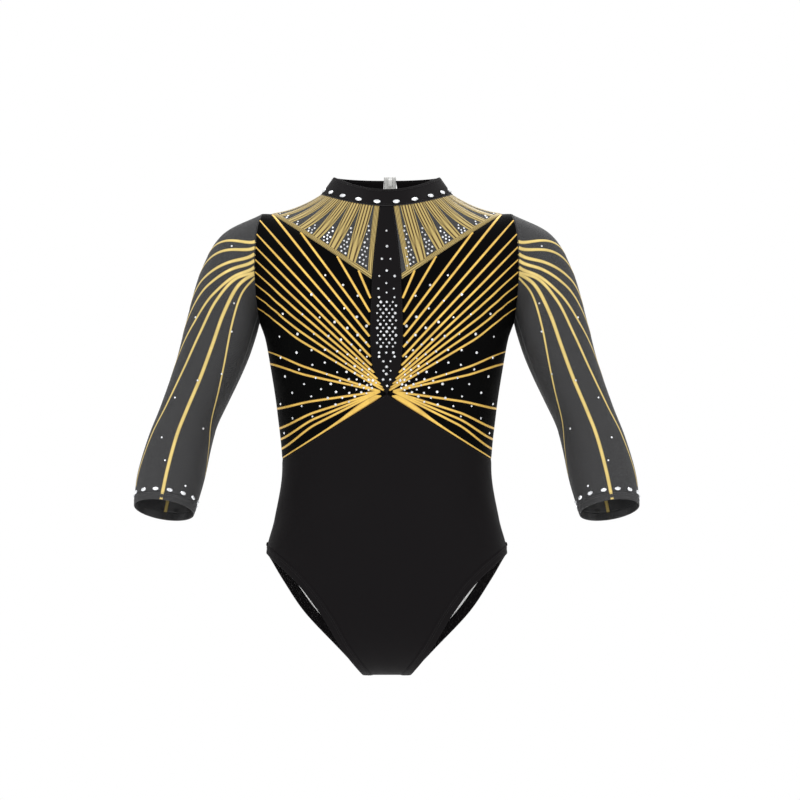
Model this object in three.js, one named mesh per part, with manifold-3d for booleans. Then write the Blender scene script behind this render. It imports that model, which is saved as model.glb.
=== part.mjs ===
// A long-sleeved competition leotard, as worn on a body that isn't there.
// Millimetres, +Z up, front facing -Y, +X is the wearer's left. Heights are from the crotch seam,
// and the finished group is lowered so that its origin lies at the base of the neck.
import * as THREE from "three";
import { mergeVertices } from "three/addons/utils/BufferGeometryUtils.js";
import Module from "manifold-3d";

// ---- cloth ----
const bodyCloth = 1.2; // thickness of the double-knit body panels
const meshCloth = 0.8; // thickness of the sheer sleeves
const collarCloth = 1.1; // thickness of each collar layer
const liningCloth = 0.8; // thickness of the crotch lining
const seamGap = 0.4; // clear space between two sewn edges
const layerGap = 0.4; // clear space between two layers

// ---- heights, each from the landmark below it ----
const hipHeight = 157; // crotch to the top of the leg opening, at the side seam
const hipToWaist = 107;
const waistToUnderarm = 189;
const armholeHeight = 140.6;
const shoulderRise = 24.4; // armhole top to the collar base on the shoulder
const collarHeight = 22; // at the side
const neckFrontDrop = 17; // collar base at the centre front, below the one on the shoulder
const neckBackLift = 4;
const collarDipFront = 18; // top edge at the centre front, below the one at the side
const collarDipBack = 2;
const waistToSeam = 14; // waist to where the V seam meets the side seam
const seamRise = 84; // from there up to its tip at the centre
const bustBelow = 13; // fullest place of the bust, below the underarm
const zipFootBelow = 15; // lower end of the zip's chain, below the underarm
const zipProud = 6; // the zip's ends stand this far above the collar

const waistHeight = hipHeight + hipToWaist;
const underarmHeight = waistHeight + waistToUnderarm;
const shoulderTip = underarmHeight + armholeHeight;
const neckSide = shoulderTip + shoulderRise;
const neckFront = neckSide - neckFrontDrop;
const neckBack = neckSide + neckBackLift;
const collarTopSide = neckSide + collarHeight;
const collarTopFront = collarTopSide - collarDipFront;
const collarTopBack = collarTopSide - collarDipBack;
const sideSeamTurn = waistHeight + waistToSeam;
const seamPeak = sideSeamTurn + seamRise;
const zipFoot = underarmHeight - zipFootBelow;
const zipTopHeight = collarTopBack + zipProud;

// ---- half widths ----
const crotchHalf = 30.5;
const hipHalf = 155;
const waistHalf = 134.7;
const chestHalf = 156; // just under the armholes
const underarmFlare = 7.6; // the cloth widens this much from there to the underarm seam
const armholeFlare = 4.8; // and the armhole seam this much more, half way up
const chestFlare = 24.4; // the chest would be this much wider if the armholes didn't cut it
const shoulderInset = 3.6; // armhole top, inside the underarm
const neckHalf = 84.7; // collar base
const collarTopHalf = 69;

const underarmHalf = chestHalf + underarmFlare;
const upperChestHalf = underarmHalf + chestFlare;
const shoulderHalf = underarmHalf - shoulderInset;

// ---- depths, from the side seam plane ----
const bellyDepth = 92;
const waistFrontDepth = 84;
const bustDepth = 109;
const neckFrontDepth = 77;
const collarTopDepth = 66;
const seatDepth = 122;
const waistBackDepth = 80;
const upperBackDepth = 97; // at the zip's lower end
const napeDepth = 64; // at the collar base

// ---- how the form rounds over ----
const sideRoundness = 2.3; // exponent of the cross-section
const shoulderRound = 70;
const crotchRoundFront = 95;
const crotchRoundBack = 120;

// ---- seams drawn on the front and back ----
const spearTop = 9; // half width of the centre panel at the collar
const spearWide = 18.8; // and over the breastbone
const spearTaper = 38; // height over which it narrows to its tip
const spearTip = 0.9; // half width at its tip
const yokeDrop = 86.6; // armhole top down to the yoke's lowest point, beside the centre panel
const yokeInset = 11; // from the armhole in to the yoke's lower edge, along the shoulder line
const bandWidth = 12; // leg and cuff bands

// ---- zip ----
const zipCentre = 4; // it closes a little to the wearer's left
const tapeHalf = 8;
const tapeThickness = 0.8;
const tapePoint = 6; // the tapes end in a point this long, where the seam closes
const chainInner = 0.6; // half of the channel between the chain halves
const chainOuter = 2.3;
const chainProud = 0.9; // chain above the tape's outer face
const chainDeep = 1.1; // and below it
const runningGap = 0.35;
const stopLength = 2.4;
const sliderLength = 9;
const plateThickness = 1.2;
const flangeWidth = 0.9;
const tabLength = 24;
const tabHalf = 3.4;
const tabThickness = 1.2;
const pinSide = 1.1; // the tab's cross bar
const archWall = 0.8;
const archHalf = 0.8;

// ---- stones on the collar, and the care label ----
const collarStones = 20;
const stoneLong = 9;
const stoneHigh = 5.6;
const stoneRise = 2.4;
const stoneHeightShare = 0.27; // how far up the collar band they sit
const stoneSeat = 0.3; // between a stone's back and the collar
const stoneClear = 1; // between the zip's tape and the first stone
const labelWidth = 22;
const labelHeight = 16;
const labelThickness = 0.6;
const labelSlack = 0.9; // it hangs this far off the cloth behind it

// ---- grid steps ----
const columns = 8; // across half a panel
const sideRows = 6; // along the side seam above the V seam
const armRows = 10; // up one side of the armhole
const yokeRows = 6;
const seamRows = 6; // of the centre-back seam under the zip
const legRows = 11;
const hipRows = 5;
const upperSleeveRows = 9;
const lowerSleeveRows = 6;
const collarRows = 2;
const liningRows = 4; // of the lower panels' rows, that the crotch lining covers
const stoneSides = 8;

// Smooth curve through rows of [place, value]
function smooth(rows) {
  const slope = rows.map((row, i) => {
    const a = rows[Math.max(i - 1, 0)];
    const b = rows[Math.min(i + 1, rows.length - 1)];
    return (b[1] - a[1]) / (b[0] - a[0]);
  });
  return (at) => {
    let i = 0;
    while (i < rows.length - 2 && at > rows[i + 1][0]) i++;
    const [x0, y0] = rows[i];
    const [x1, y1] = rows[i + 1];
    const span = x1 - x0;
    const t = Math.min(Math.max((at - x0) / span, 0), 1);
    const t2 = t * t;
    const t3 = t2 * t;
    return (
      y0 * (2 * t3 - 3 * t2 + 1) + slope[i] * span * (t3 - 2 * t2 + t) +
      y1 * (3 * t2 - 2 * t3) + slope[i + 1] * span * (t3 - t2)
    );
  };
}

const zipTilt = (upperBackDepth - napeDepth) / (neckBack - zipFoot);
const backLine = (z) => upperBackDepth - (z - zipFoot) * zipTilt; // straight, so the slider can run
const downOfHeight = Math.hypot(1, zipTilt); // distance along the zip for each millimetre of height
const zipLength = (zipTopHeight - zipFoot) * downOfHeight;
const lineStart = zipFoot - 10; // the back is straight above this height
const yokeTip = shoulderTip - yokeDrop;
const yokeShoulder = shoulderHalf - yokeInset;

const bodyHalf = smooth([
  [0, hipHalf - 3], [hipHeight, hipHalf], [hipHeight + hipToWaist * 0.4, (hipHalf + waistHalf) / 2],
  [waistHeight, waistHalf], [waistHeight + waistToUnderarm * 0.4, waistHalf + (chestHalf - waistHalf) * 0.3],
  [waistHeight + waistToUnderarm * 0.7, waistHalf + (chestHalf - waistHalf) * 0.7],
  [underarmHeight - 21, chestHalf], [underarmHeight, underarmHalf],
  [underarmHeight + armholeHeight / 3, upperChestHalf - chestFlare / 3],
  [underarmHeight + armholeHeight * 0.76, upperChestHalf], [neckSide + 32, upperChestHalf],
]);
const frontDepth = smooth([
  [0, bellyDepth - 12], [hipHeight * 0.4, bellyDepth - 6], [hipHeight * 0.9, bellyDepth],
  [hipHeight + hipToWaist * 0.4, bellyDepth], [waistHeight, waistFrontDepth],
  [waistHeight + waistToUnderarm * 0.4, (waistFrontDepth * 2 + bustDepth) / 3],
  [waistHeight + waistToUnderarm * 0.72, bustDepth - 4], [underarmHeight - bustBelow, bustDepth],
  [underarmHeight + armholeHeight / 3, (bustDepth * 2 + neckFrontDepth) / 3],
  [neckFront, neckFrontDepth], [neckSide + 32, neckFrontDepth - 5],
]);
const backDepthLow = smooth([
  [0, seatDepth - 26], [hipHeight * 0.4, seatDepth - 6], [hipHeight * 0.83, seatDepth],
  [hipHeight + hipToWaist * 0.4, (seatDepth + waistBackDepth) / 2 + 3], [waistHeight, waistBackDepth],
  [waistHeight + waistToUnderarm * 0.4, (waistBackDepth + upperBackDepth) / 2],
  [waistHeight + waistToUnderarm * 0.67, upperBackDepth - 1.5],
  [lineStart, backLine(lineStart)], [lineStart + 40, backLine(lineStart + 40)],
]);
const backDepth = (z) => (z < lineStart ? backDepthLow(z) : backLine(z));
const armholeX = smooth([
  [underarmHeight, underarmHalf], [underarmHeight + armholeHeight * 0.25, underarmHalf + armholeFlare * 0.75],
  [underarmHeight + armholeHeight * 0.55, underarmHalf + armholeFlare],
  [underarmHeight + armholeHeight * 0.85, underarmHalf + armholeFlare * 0.45], [shoulderTip, shoulderHalf],
]);

// Half width of a leg opening's edge over height, from shares of the way from the crotch to the hip
const legEdge = (shares) => smooth(
  [[0, 0], ...shares, [1, 1]].map(([up, out]) => [hipHeight * up, crotchHalf + (hipHalf - crotchHalf) * out]));
const legFrontX = legEdge([[0.23, 0.216], [0.49, 0.408], [0.77, 0.676]]);
const legBackX = legEdge([[0.16, 0.213], [0.48, 0.606], [0.75, 0.831]]);

// Height of the shoulder line over |x|: a shallow curve that climbs towards the neck
function shoulderLine(x) {
  const run = shoulderHalf - neckHalf;
  const rise = neckSide - shoulderTip;
  if (x < neckHalf) return neckSide + (neckHalf - x);
  if (x > shoulderHalf) return shoulderTip;
  return shoulderTip + rise * ((shoulderHalf - x) / run) ** 2;
}

// Square of the body's depth at (x, z), as a share of its full depth there
function fullness(x, z, back) {
  const across = 1 - (Math.abs(x) / bodyHalf(z)) ** sideRoundness;
  const under = Math.min(Math.max((shoulderLine(Math.abs(x)) - z) / shoulderRound, 0), 1);
  const over = Math.min(Math.max(z / (back ? crotchRoundBack : crotchRoundFront), 0), 1);
  return across * (1 - (1 - under) ** 2) * (1 - (1 - over) ** 2);
}

// Point and outward normal of the body surface at (x, z), on the front or on the back
function bodyPoint(x, z, back) {
  const depth = back ? backDepth : frontDepth;
  const side = back ? 1 : -1;
  const y = side * depth(z) * Math.sqrt(Math.max(fullness(x, z, back), 0));
  const field = (px, py, pz) => (py / depth(pz)) ** 2 - fullness(px, pz, back);
  const e = 0.05;
  const slope = (a, b) => (field(...a) - field(...b)) / (2 * e);
  const normal = new THREE.Vector3(
    slope([x + e, y, z], [x - e, y, z]),
    slope([x, y + e, z], [x, y - e, z]),
    slope([x, y, z + e], [x, y, z - e]),
  );
  if (normal.lengthSq() < 1e-12) normal.set(0, side, 0);
  return { p: new THREE.Vector3(x, y, z), n: normal.normalize() };
}

// Triangles for a grid of points: two faces and the rim between them. wrap joins the last column to the first
function shell(outer, inner, wrap = false) {
  const rows = outer.length;
  const wide = outer[0].length;
  const index = [];
  const at = (layer, r, c) => layer * rows * wide + r * wide + (c % wide);
  const quad = (a, b, c, d) => index.push(a, b, c, a, c, d);
  const last = wrap ? wide : wide - 1;
  for (let r = 0; r < rows - 1; r++) {
    for (let c = 0; c < last; c++) {
      quad(at(0, r, c), at(0, r, c + 1), at(0, r + 1, c + 1), at(0, r + 1, c));
      quad(at(1, r, c), at(1, r + 1, c), at(1, r + 1, c + 1), at(1, r, c + 1));
    }
  }
  for (let c = 0; c < last; c++) {
    quad(at(1, 0, c), at(1, 0, c + 1), at(0, 0, c + 1), at(0, 0, c));
    quad(at(0, rows - 1, c), at(0, rows - 1, c + 1), at(1, rows - 1, c + 1), at(1, rows - 1, c));
  }
  for (let r = 0; r < rows - 1 && !wrap; r++) {
    quad(at(0, r, 0), at(0, r + 1, 0), at(1, r + 1, 0), at(1, r, 0));
    quad(at(1, r, wide - 1), at(1, r + 1, wide - 1), at(0, r + 1, wide - 1), at(0, r, wide - 1));
  }
  const geometry = new THREE.BufferGeometry();
  const all = [...outer.flat(), ...inner.flat()];
  geometry.setAttribute("position", new THREE.Float32BufferAttribute(all.flatMap((p) => p.toArray()), 3));
  geometry.setIndex(signedVolume(all, index) < 0 ? turned(index) : index);
  geometry.computeVertexNormals();
  return geometry;
}

function signedVolume(points, index) {
  let sum = 0;
  const cross = new THREE.Vector3();
  for (let i = 0; i < index.length; i += 3) {
    cross.crossVectors(points[index[i + 1]], points[index[i + 2]]);
    sum += points[index[i]].dot(cross);
  }
  return sum;
}

function turned(index) {
  const out = [];
  for (let i = 0; i < index.length; i += 3) out.push(index[i], index[i + 2], index[i + 1]);
  return out;
}

// A piece of cloth over a grid of {p, n}: its rim is drawn in by half the seam gap, and it lies
// between two depths under the surface. wrap means that it is a closed tube
function cloth(grid, thickness, { under = 0, wrap = false } = {}) {
  const rows = grid.length;
  const wide = grid[0].length;
  const along = (a, b) => new THREE.Vector3().subVectors(b, a);
  const inset = (r, c, dr, dc) => {
    const here = grid[r][c];
    const inward = along(here.p, grid[r + dr][(c + dc + wide) % wide].p);
    const column = (k) => (wrap ? (k + wide) % wide : Math.min(Math.max(k, 0), wide - 1));
    const row = (k) => Math.min(Math.max(k, 0), rows - 1);
    const beside = (step) => (dr ? grid[r][column(c + step)] : grid[row(r + step)][c]);
    const edge = along(beside(-1).p, beside(1).p).normalize();
    const normal = here.n.clone().addScaledVector(edge, -here.n.dot(edge)).normalize();
    const step = new THREE.Vector3().crossVectors(normal, edge);
    if (step.dot(inward) < 0) step.negate();
    return step.multiplyScalar(seamGap / 2);
  };
  const drawn = grid.map((row, r) => row.map(({ p }, c) => {
    const moved = p.clone();
    if (r === 0) moved.add(inset(r, c, 1, 0));
    if (r === rows - 1) moved.add(inset(r, c, -1, 0));
    if (!wrap && c === 0) moved.add(inset(r, c, 0, 1));
    if (!wrap && c === wide - 1) moved.add(inset(r, c, 0, -1));
    return moved;
  }));
  const sunk = (p, n, depth) => p.clone().addScaledVector(n, -depth);
  const layer = (depth) => drawn.map((row, r) => row.map((p, c) => sunk(p, grid[r][c].n, depth)));
  return shell(layer(under), layer(under + thickness), wrap);
}

// A grid of flat places filled in between four sides that share their corners (bottom and top run
// from first to last column, start and end from first to last row)
function fill(bottom, top, start, end) {
  const m = bottom.length - 1;
  const n = start.length - 1;
  const mix = (a, b, t) => a.map((v, k) => v * (1 - t) + b[k] * t);
  return start.map((_, j) => bottom.map((__, i) => {
    const u = i / m;
    const v = j / n;
    const rule = mix(bottom[i], top[i], v);
    const cross = mix(start[j], end[j], u);
    const corners = mix(mix(bottom[0], bottom[m], u), mix(top[0], top[m], u), v);
    return rule.map((value, k) => value + cross[k] - corners[k]);
  }));
}

const steps = (count, at) => Array.from({ length: count + 1 }, (_, i) => at(i / count, i));
const ease = (t) => Math.sin((t * Math.PI) / 2); // close steps near the side, where the cloth turns away
const lift = (flat, back, sign) => flat.map((row) => row.map(([x, z]) => bodyPoint(sign * x, z, back)));

// ---- seam lines in front view, as [distance from the centre, height] ----
const panelColumns = columns + 1;
const sideHalf = bodyHalf(sideSeamTurn);
const zipEnd = zipFoot - stopLength - 2 * runningGap - 3; // where the tapes start to narrow
const vHeight = (x) => seamPeak - ((seamPeak - sideSeamTurn) * x) / sideHalf;
const neckLine = (low) => (x) => low + (neckSide - low) * (x / neckHalf) ** 2;
const sideAndArmhole = [
  ...steps(sideRows, (t) => {
    const z = sideSeamTurn + (underarmHeight - sideSeamTurn) * t;
    return [bodyHalf(z), z];
  }),
  ...steps(armRows, (t) => {
    const middle = (shoulderTip + underarmHeight) / 2;
    const z = middle - ((shoulderTip - underarmHeight) / 2) * Math.cos(Math.PI * t);
    return [armholeX(z), z];
  }).slice(1),
];

// Where the upper panels stop at the centre: beside the spear in front, beside the zip behind
const spearHalf = smooth([
  [seamPeak, spearTip], [seamPeak + spearTaper, spearWide], [yokeTip, spearWide], [neckFront, spearTop],
]);
function backEdge(sign) {
  return (z) => {
    const off = sign * zipCentre;
    if (z >= zipEnd - 0.001) return off + tapeHalf;
    return off * Math.min(Math.max((z - seamPeak) / (zipEnd - tapePoint - seamPeak), 0), 1);
  };
}

// The sides of one yoke and one bodice panel, front or back
function upperSeams(back, sign) {
  const edge = back ? backEdge(sign) : spearHalf;
  const neck = neckLine(back ? neckBack : neckFront);
  const neckStart = back ? edge(neckBack) : spearTop;
  const tip = edge(yokeTip);
  const yokeLow = steps(columns, (t) => {
    const share = ease(t);
    return [tip + (yokeShoulder - tip) * share, yokeTip + (shoulderLine(yokeShoulder) - yokeTip) * share];
  });
  const yokeTop = steps(columns, (t) => {
    const x = neckStart + (neckHalf - neckStart) * ease(t);
    return [x, neck(x)];
  });
  const yokeInner = steps(yokeRows, (t) => {
    const z = yokeTip + (neck(neckStart) - yokeTip) * t;
    return [t === 1 ? neckStart : edge(z), z];
  });
  const yokeOuter = steps(yokeRows, (t) => {
    const x = yokeShoulder + (neckHalf - yokeShoulder) * t;
    return [x, shoulderLine(x)];
  });
  const low = edge(seamPeak);
  const seamTop = zipEnd - tapePoint;
  const bodiceInner = [
    ...steps(seamRows, (t) => vHeight(low) + (seamTop - vHeight(low)) * t),
    ...steps(sideRows + armRows - seamRows - 1, (t) => zipEnd + (yokeTip - zipEnd) * t),
  ].map((z) => [edge(z), z]);
  const bodiceLow = steps(panelColumns, (t) => {
    const x = low + (sideHalf - low) * ease(t);
    return [x, vHeight(x)];
  });
  return { yokeLow, yokeTop, yokeInner, yokeOuter, bodiceInner, bodiceLow };
}

const underShoulder = (flat) => flat.map((row) => row.map(([x, z]) => [x, Math.min(z, shoulderLine(x))]));

function upperPanels(back, sign) {
  const s = upperSeams(back, sign);
  const top = [...s.yokeLow, [shoulderHalf, shoulderTip]];
  return {
    yoke: lift(underShoulder(fill(s.yokeLow, s.yokeTop, s.yokeInner, s.yokeOuter)), back, sign),
    bodice: lift(underShoulder(fill(s.bodiceLow, top, s.bodiceInner, sideAndArmhole)), back, sign),
  };
}

// The black spear down the breastbone, between the two bodices and the two yokes
function centrePanel() {
  const { bodiceInner, yokeInner } = upperSeams(false, 1);
  const sides = [...bodiceInner, ...yokeInner.slice(1)];
  const flat = sides.map(([x, z], i) => {
    const middle = i === 0 ? seamPeak : i === sides.length - 1 ? neckFront : z;
    return [[-x, z], [0, middle], [x, z]];
  });
  return lift(flat, false, 1);
}

// ---- lower panels, from the crotch to the V seam over the whole width ----
const legHeights = steps(legRows, (t) => hipHeight * t * t * (3 - 2 * t));

// The leg band's inner edge: square to the leg opening, so it turns upright towards the side seam
const legLine = (legX) => legHeights.map((z) => {
  const lean = (Math.PI / 2) * (z / hipHeight) ** 1.5;
  const height = z + bandWidth * Math.sin(lean);
  return [z === hipHeight ? bodyHalf(height) : legX(z) - bandWidth * Math.cos(lean), height];
});

function lowerPanel(back) {
  const legTop = hipHeight + bandWidth;
  const edge = [
    ...legLine(back ? legBackX : legFrontX),
    ...steps(hipRows, (t) => legTop + (sideSeamTurn - legTop) * t).slice(1).map((z) => [bodyHalf(z), z]),
  ];
  const flat = edge.map(([x, z]) => {
    const peak = Math.max(z - hipHeight / 2, 0) / (sideSeamTurn - hipHeight / 2);
    return steps(2 * panelColumns, (t) => {
      const share = ease(Math.abs(2 * t - 1));
      return [Math.sign(2 * t - 1) * x * share, z + (seamPeak - sideSeamTurn) * peak ** 2 * (1 - share)];
    });
  });
  return lift(flat, back, 1);
}

function legBand(sign) {
  const half = (legX, back) => {
    const inner = legLine(legX);
    return legHeights.map((z, i) => [
      bodyPoint(sign * legX(z), z, back), bodyPoint(sign * inner[i][0], inner[i][1], back),
    ]);
  };
  const loop = [...half(legFrontX, false), ...half(legBackX, true).slice(1, -1).reverse()];
  return [loop.map((pair) => pair[0]), loop.map((pair) => pair[1])];
}

// ---- sleeves: rings from the armhole to the wrist ----
// out is the ring's outer end in front view, from the armhole's top, and under its inner end, from the
// underarm. y is its middle, deep its half depth, and pitch how far it leans forward
const sleeveStations = [
  { out: [0, 0], under: [0, 0], y: 2, deep: 46, pitch: 0 },
  { out: [52, -27], under: [4, -15], y: 4, deep: 56, pitch: 0 },
  { out: [80, -75], under: [13, -42], y: 6, deep: 53, pitch: 2 },
  { out: [98, -137], under: [25, -70], y: 8, deep: 48, pitch: 4 },
  { out: [112, -191], under: [40, -101], y: 8, deep: 44, pitch: 7 },
  { out: [131, -247], under: [55, -133], y: 4, deep: 42, pitch: 11 },
  { out: [147, -289], under: [63, -163], y: -5, deep: 41, pitch: 16 },
  { out: [160, -336], under: [71, -203], y: -20, deep: 39, pitch: 20 },
  { out: [163.5, -375], under: [83, -245], y: -37, deep: 37, pitch: 22 },
];
const ringValue = (pick) => smooth(sleeveStations.map((s, i) => [i / (sleeveStations.length - 1), pick(s)]));
const outerX = ringValue((s) => shoulderHalf + s.out[0]);
const outerZ = ringValue((s) => shoulderTip + s.out[1]);
const innerX = ringValue((s) => underarmHalf + s.under[0]);
const innerZ = ringValue((s) => underarmHeight + s.under[1]);
const ringY = ringValue((s) => s.y);
const ringDeep = ringValue((s) => s.deep);
const ringPitch = ringValue((s) => (s.pitch * Math.PI) / 180);
const loopSteps = 2 * armRows;
const elbow = 0.58; // share of the sleeve above the elbow
const seamShape = 0.2; // share of the sleeve within which its rings turn from the armhole's shape to ovals

// Point at share s down the sleeve and step k round it, from the armpit up the front and down the back
function sleevePlace(s, k, sign) {
  const turn = (2 * Math.PI * k) / loopSteps;
  const reach = -Math.cos(turn);
  const between = (a, b) => (a * (1 + reach) + b * (1 - reach)) / 2;
  const place = new THREE.Vector3(
    between(outerX(s), innerX(s)),
    ringY(s) - ringDeep(s) * Math.sin(turn) * Math.cos(ringPitch(s)),
    between(outerZ(s), innerZ(s)) + ringDeep(s) * Math.sin(turn) * Math.sin(ringPitch(s)),
  );
  const join = Math.max(1 - s / seamShape, 0) ** 2;
  if (join > 0) {
    const z = between(shoulderTip, underarmHeight);
    const seam = bodyPoint(armholeX(z), z, k % loopSteps > armRows).p;
    seam.x += between(outerX(s) - outerX(0), innerX(s) - innerX(0));
    seam.z += between(outerZ(s) - outerZ(0), innerZ(s) - innerZ(0));
    place.lerp(seam, join);
  }
  place.x *= sign;
  return place;
}

function sleeveGrid(sign, from, to, rows) {
  const e = 0.01;
  return steps(rows, (t) => {
    const s = from + (to - from) * t;
    return Array.from({ length: loopSteps }, (_, k) => {
      const round = sleevePlace(s, k + 1, sign).sub(sleevePlace(s, k - 1 + loopSteps, sign));
      const down = sleevePlace(Math.min(s + e, 1), k, sign).sub(sleevePlace(Math.max(s - e, 0), k, sign));
      return { p: sleevePlace(s, k, sign), n: down.cross(round).normalize().multiplyScalar(sign) };
    });
  });
}

// ---- zip frame ----
const zipDown = new THREE.Vector3(0, zipTilt, -1).normalize();
const zipOut = new THREE.Vector3(0, 1, zipTilt).normalize();
const zipFrame = new THREE.Matrix4()
  .makeBasis(new THREE.Vector3(-1, 0, 0), zipDown.clone().negate(), zipOut)
  .setPosition(zipCentre, backLine(zipTopHeight), zipTopHeight);

// ---- collar: a band from the neck seam up to a smaller ring, open at the zip ----
// angle 0 is at the wearer's left and a quarter turn is the centre front
function collarPlace(angle, share) {
  const c = Math.cos(angle);
  const s = Math.sin(angle);
  const back = s < 0;
  const x = neckHalf * c;
  const base = bodyPoint(x, neckLine(back ? neckBack : neckFront)(Math.abs(x)), back).p;
  const deep = back ? backLine(collarTopBack) : -collarTopDepth;
  const topZ = collarTopSide - (collarTopSide - (back ? collarTopBack : collarTopFront)) * s * s;
  const round = back ? Math.sqrt(Math.max(1 - Math.abs(c) ** sideRoundness, 0)) : s;
  return base.lerp(new THREE.Vector3(collarTopHalf * c, deep * round, topZ), share);
}

function collarPoint(angle, share) {
  const e = 0.01;
  const round = collarPlace(angle + e, share).sub(collarPlace(angle - e, share));
  const up = collarPlace(angle, 1).sub(collarPlace(angle, 0));
  return { p: collarPlace(angle, share), n: up.cross(round).normalize() };
}

// The band's columns stand on the same points as the panels' neck edges. Its ends run straight along the zip
function collarGrid(low) {
  const neckAngles = (back, sign) => upperSeams(back, sign).yokeTop.map(([x]) => {
    const angle = Math.acos(Math.min(x / neckHalf, 1)) * (back ? -1 : 1);
    return sign > 0 ? angle : Math.PI - angle;
  });
  const angles = [
    ...neckAngles(true, 1), ...neckAngles(false, 1).reverse().slice(1), Math.PI / 2,
    ...neckAngles(false, -1), ...neckAngles(true, -1).reverse().slice(1),
  ];
  return steps(collarRows, (t) => {
    const share = low + (1 - low) * t;
    const grid = angles.map((angle) => collarPoint(angle, share));
    grid[0].p.x = zipCentre + tapeHalf;
    grid[grid.length - 1].p.x = zipCentre - tapeHalf;
    return grid;
  });
}

// ---- zip pieces, drawn with x across the zip, y up it and z out of it ----
function zipBox([x0, x1], [down0, down1], [out0, out1]) {
  const box = new THREE.BoxGeometry(Math.abs(x1 - x0), down1 - down0, out1 - out0);
  return box.translate((x0 + x1) / 2, -(down0 + down1) / 2, (out0 + out1) / 2);
}

function extruded(outline, from, to) {
  const shape = new THREE.Shape(outline.map(([x, y]) => new THREE.Vector2(x, y)));
  return new THREE.ExtrudeGeometry(shape, { depth: to - from, bevelEnabled: false }).translate(0, 0, from);
}

const sliderTop = stopLength + 2 * runningGap;
const plateOut = chainProud + runningGap; // inner face of the slider's outer plate
const plateIn = -chainDeep - runningGap;
const plateFace = plateOut + plateThickness;
const flangeInner = chainOuter + runningGap;
const pinReach = Math.hypot(pinSide, tabThickness) / 2; // the cross bar's corner, from its centre
const archInner = pinReach + runningGap;
const archOuter = archInner + archWall;
const pinDown = sliderTop + archOuter + 1;
const pinOut = plateFace + archInner;

// Solid of a closed geometry, for joining
function solid(wasm, geometry) {
  geometry.deleteAttribute("normal");
  geometry.deleteAttribute("uv");
  const merged = mergeVertices(geometry);
  return new wasm.Manifold(new wasm.Mesh({
    numProp: 3,
    vertProperties: merged.getAttribute("position").array,
    triVerts: new Uint32Array(merged.index.array),
  }));
}

// Two plates round the chain, joined by a web between its halves, with an arch on the outer plate
async function sliderGeometry() {
  const wasm = await Module();
  wasm.setup();
  const web = chainInner - runningGap;
  const right = [
    [flangeInner, plateIn - plateThickness], [flangeInner, plateIn], [web, plateIn], [web, plateOut],
    [flangeInner, plateOut], [flangeInner, runningGap], [flangeInner + flangeWidth, runningGap],
    [flangeInner + flangeWidth, plateFace],
  ];
  const plates = extruded([...right, ...right.map(([x, y]) => [-x, y]).reverse()], 0, sliderLength)
    .rotateX(Math.PI / 2).translate(0, -sliderTop, 0);
  const foot = plateFace - plateThickness / 2;
  const loop = [
    [-archOuter, foot], [-archInner, foot], [-archInner, pinOut + archInner], [archInner, pinOut + archInner],
    [archInner, foot], [archOuter, foot], [archOuter, pinOut + archOuter], [-archOuter, pinOut + archOuter],
  ];
  const turn = new THREE.Matrix4().makeBasis(
    new THREE.Vector3(0, 1, 0), new THREE.Vector3(0, 0, 1), new THREE.Vector3(1, 0, 0));
  const arch = extruded(loop, -archHalf, archHalf).applyMatrix4(turn).translate(0, -pinDown, 0);
  const joined = solid(wasm, plates).add(solid(wasm, arch)).getMesh();
  const geometry = new THREE.BufferGeometry();
  geometry.setAttribute("position", new THREE.BufferAttribute(joined.vertProperties, 3));
  geometry.setIndex(new THREE.BufferAttribute(joined.triVerts, 1));
  geometry.computeVertexNormals();
  return geometry;
}

// A flat tab with a slot that leaves a cross bar at its top, under the arch
function tabGeometry() {
  const top = pinSide / 2;
  const slotHalf = archHalf + runningGap;
  const slotLow = -(Math.hypot(archOuter, archOuter) + runningGap);
  const outline = new THREE.Shape().moveTo(-tabHalf, top).lineTo(-tabHalf, tabHalf - tabLength);
  outline.absarc(0, tabHalf - tabLength, tabHalf, Math.PI, 2 * Math.PI, false).lineTo(tabHalf, top);
  const slot = new THREE.Path().moveTo(-slotHalf, -top).lineTo(slotHalf, -top);
  slot.lineTo(slotHalf, slotLow - archWall).lineTo(-slotHalf, slotLow - archWall).closePath();
  outline.holes.push(slot);
  return new THREE.ExtrudeGeometry(outline, { depth: tabThickness, bevelEnabled: false, curveSegments: 8 })
    .translate(0, -pinDown, pinOut - tabThickness / 2);
}

// One tape: a strip beside the chain whose lower end is cut to a point with its neighbour's
function tapeGeometry(side) {
  const from = chainOuter + runningGap;
  const to = tapeHalf - seamGap / 2;
  const pointed = (x) => seamGap - (zipTopHeight - zipEnd + tapePoint * (1 - x / tapeHalf)) * downOfHeight;
  const outline = [[from, 0], [from, pointed(from)], [to, pointed(to)], [to, 0]];
  return extruded(outline.map(([x, y]) => [side * x, y]), -tapeThickness, 0);
}

// ---- stones: a low faceted dome on an oval base ----
function stoneGeometry() {
  const rings = [[0.55, stoneRise], [1, stoneRise * 0.4], [0.94, 0]];
  const points = rings.flatMap(([size, height]) => steps(stoneSides - 1, (_, k) => {
    const turn = (2 * Math.PI * (k + 0.5)) / stoneSides;
    return [(size * stoneLong * Math.cos(turn)) / 2, (size * stoneHigh * Math.sin(turn)) / 2, height];
  }));
  const index = [];
  for (let k = 0; k < stoneSides; k++) {
    const next = (k + 1) % stoneSides;
    for (const ring of [0, stoneSides]) {
      const below = ring + stoneSides;
      index.push(ring + k, below + k, below + next, ring + k, below + next, ring + next);
    }
  }
  for (let k = 1; k < stoneSides - 1; k++) {
    index.push(0, k, k + 1, 2 * stoneSides, 2 * stoneSides + k + 1, 2 * stoneSides + k);
  }
  const geometry = new THREE.BufferGeometry();
  geometry.setAttribute("position", new THREE.Float32BufferAttribute(points.flat(), 3));
  geometry.setIndex(index);
  geometry.computeVertexNormals();
  return geometry;
}

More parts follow.
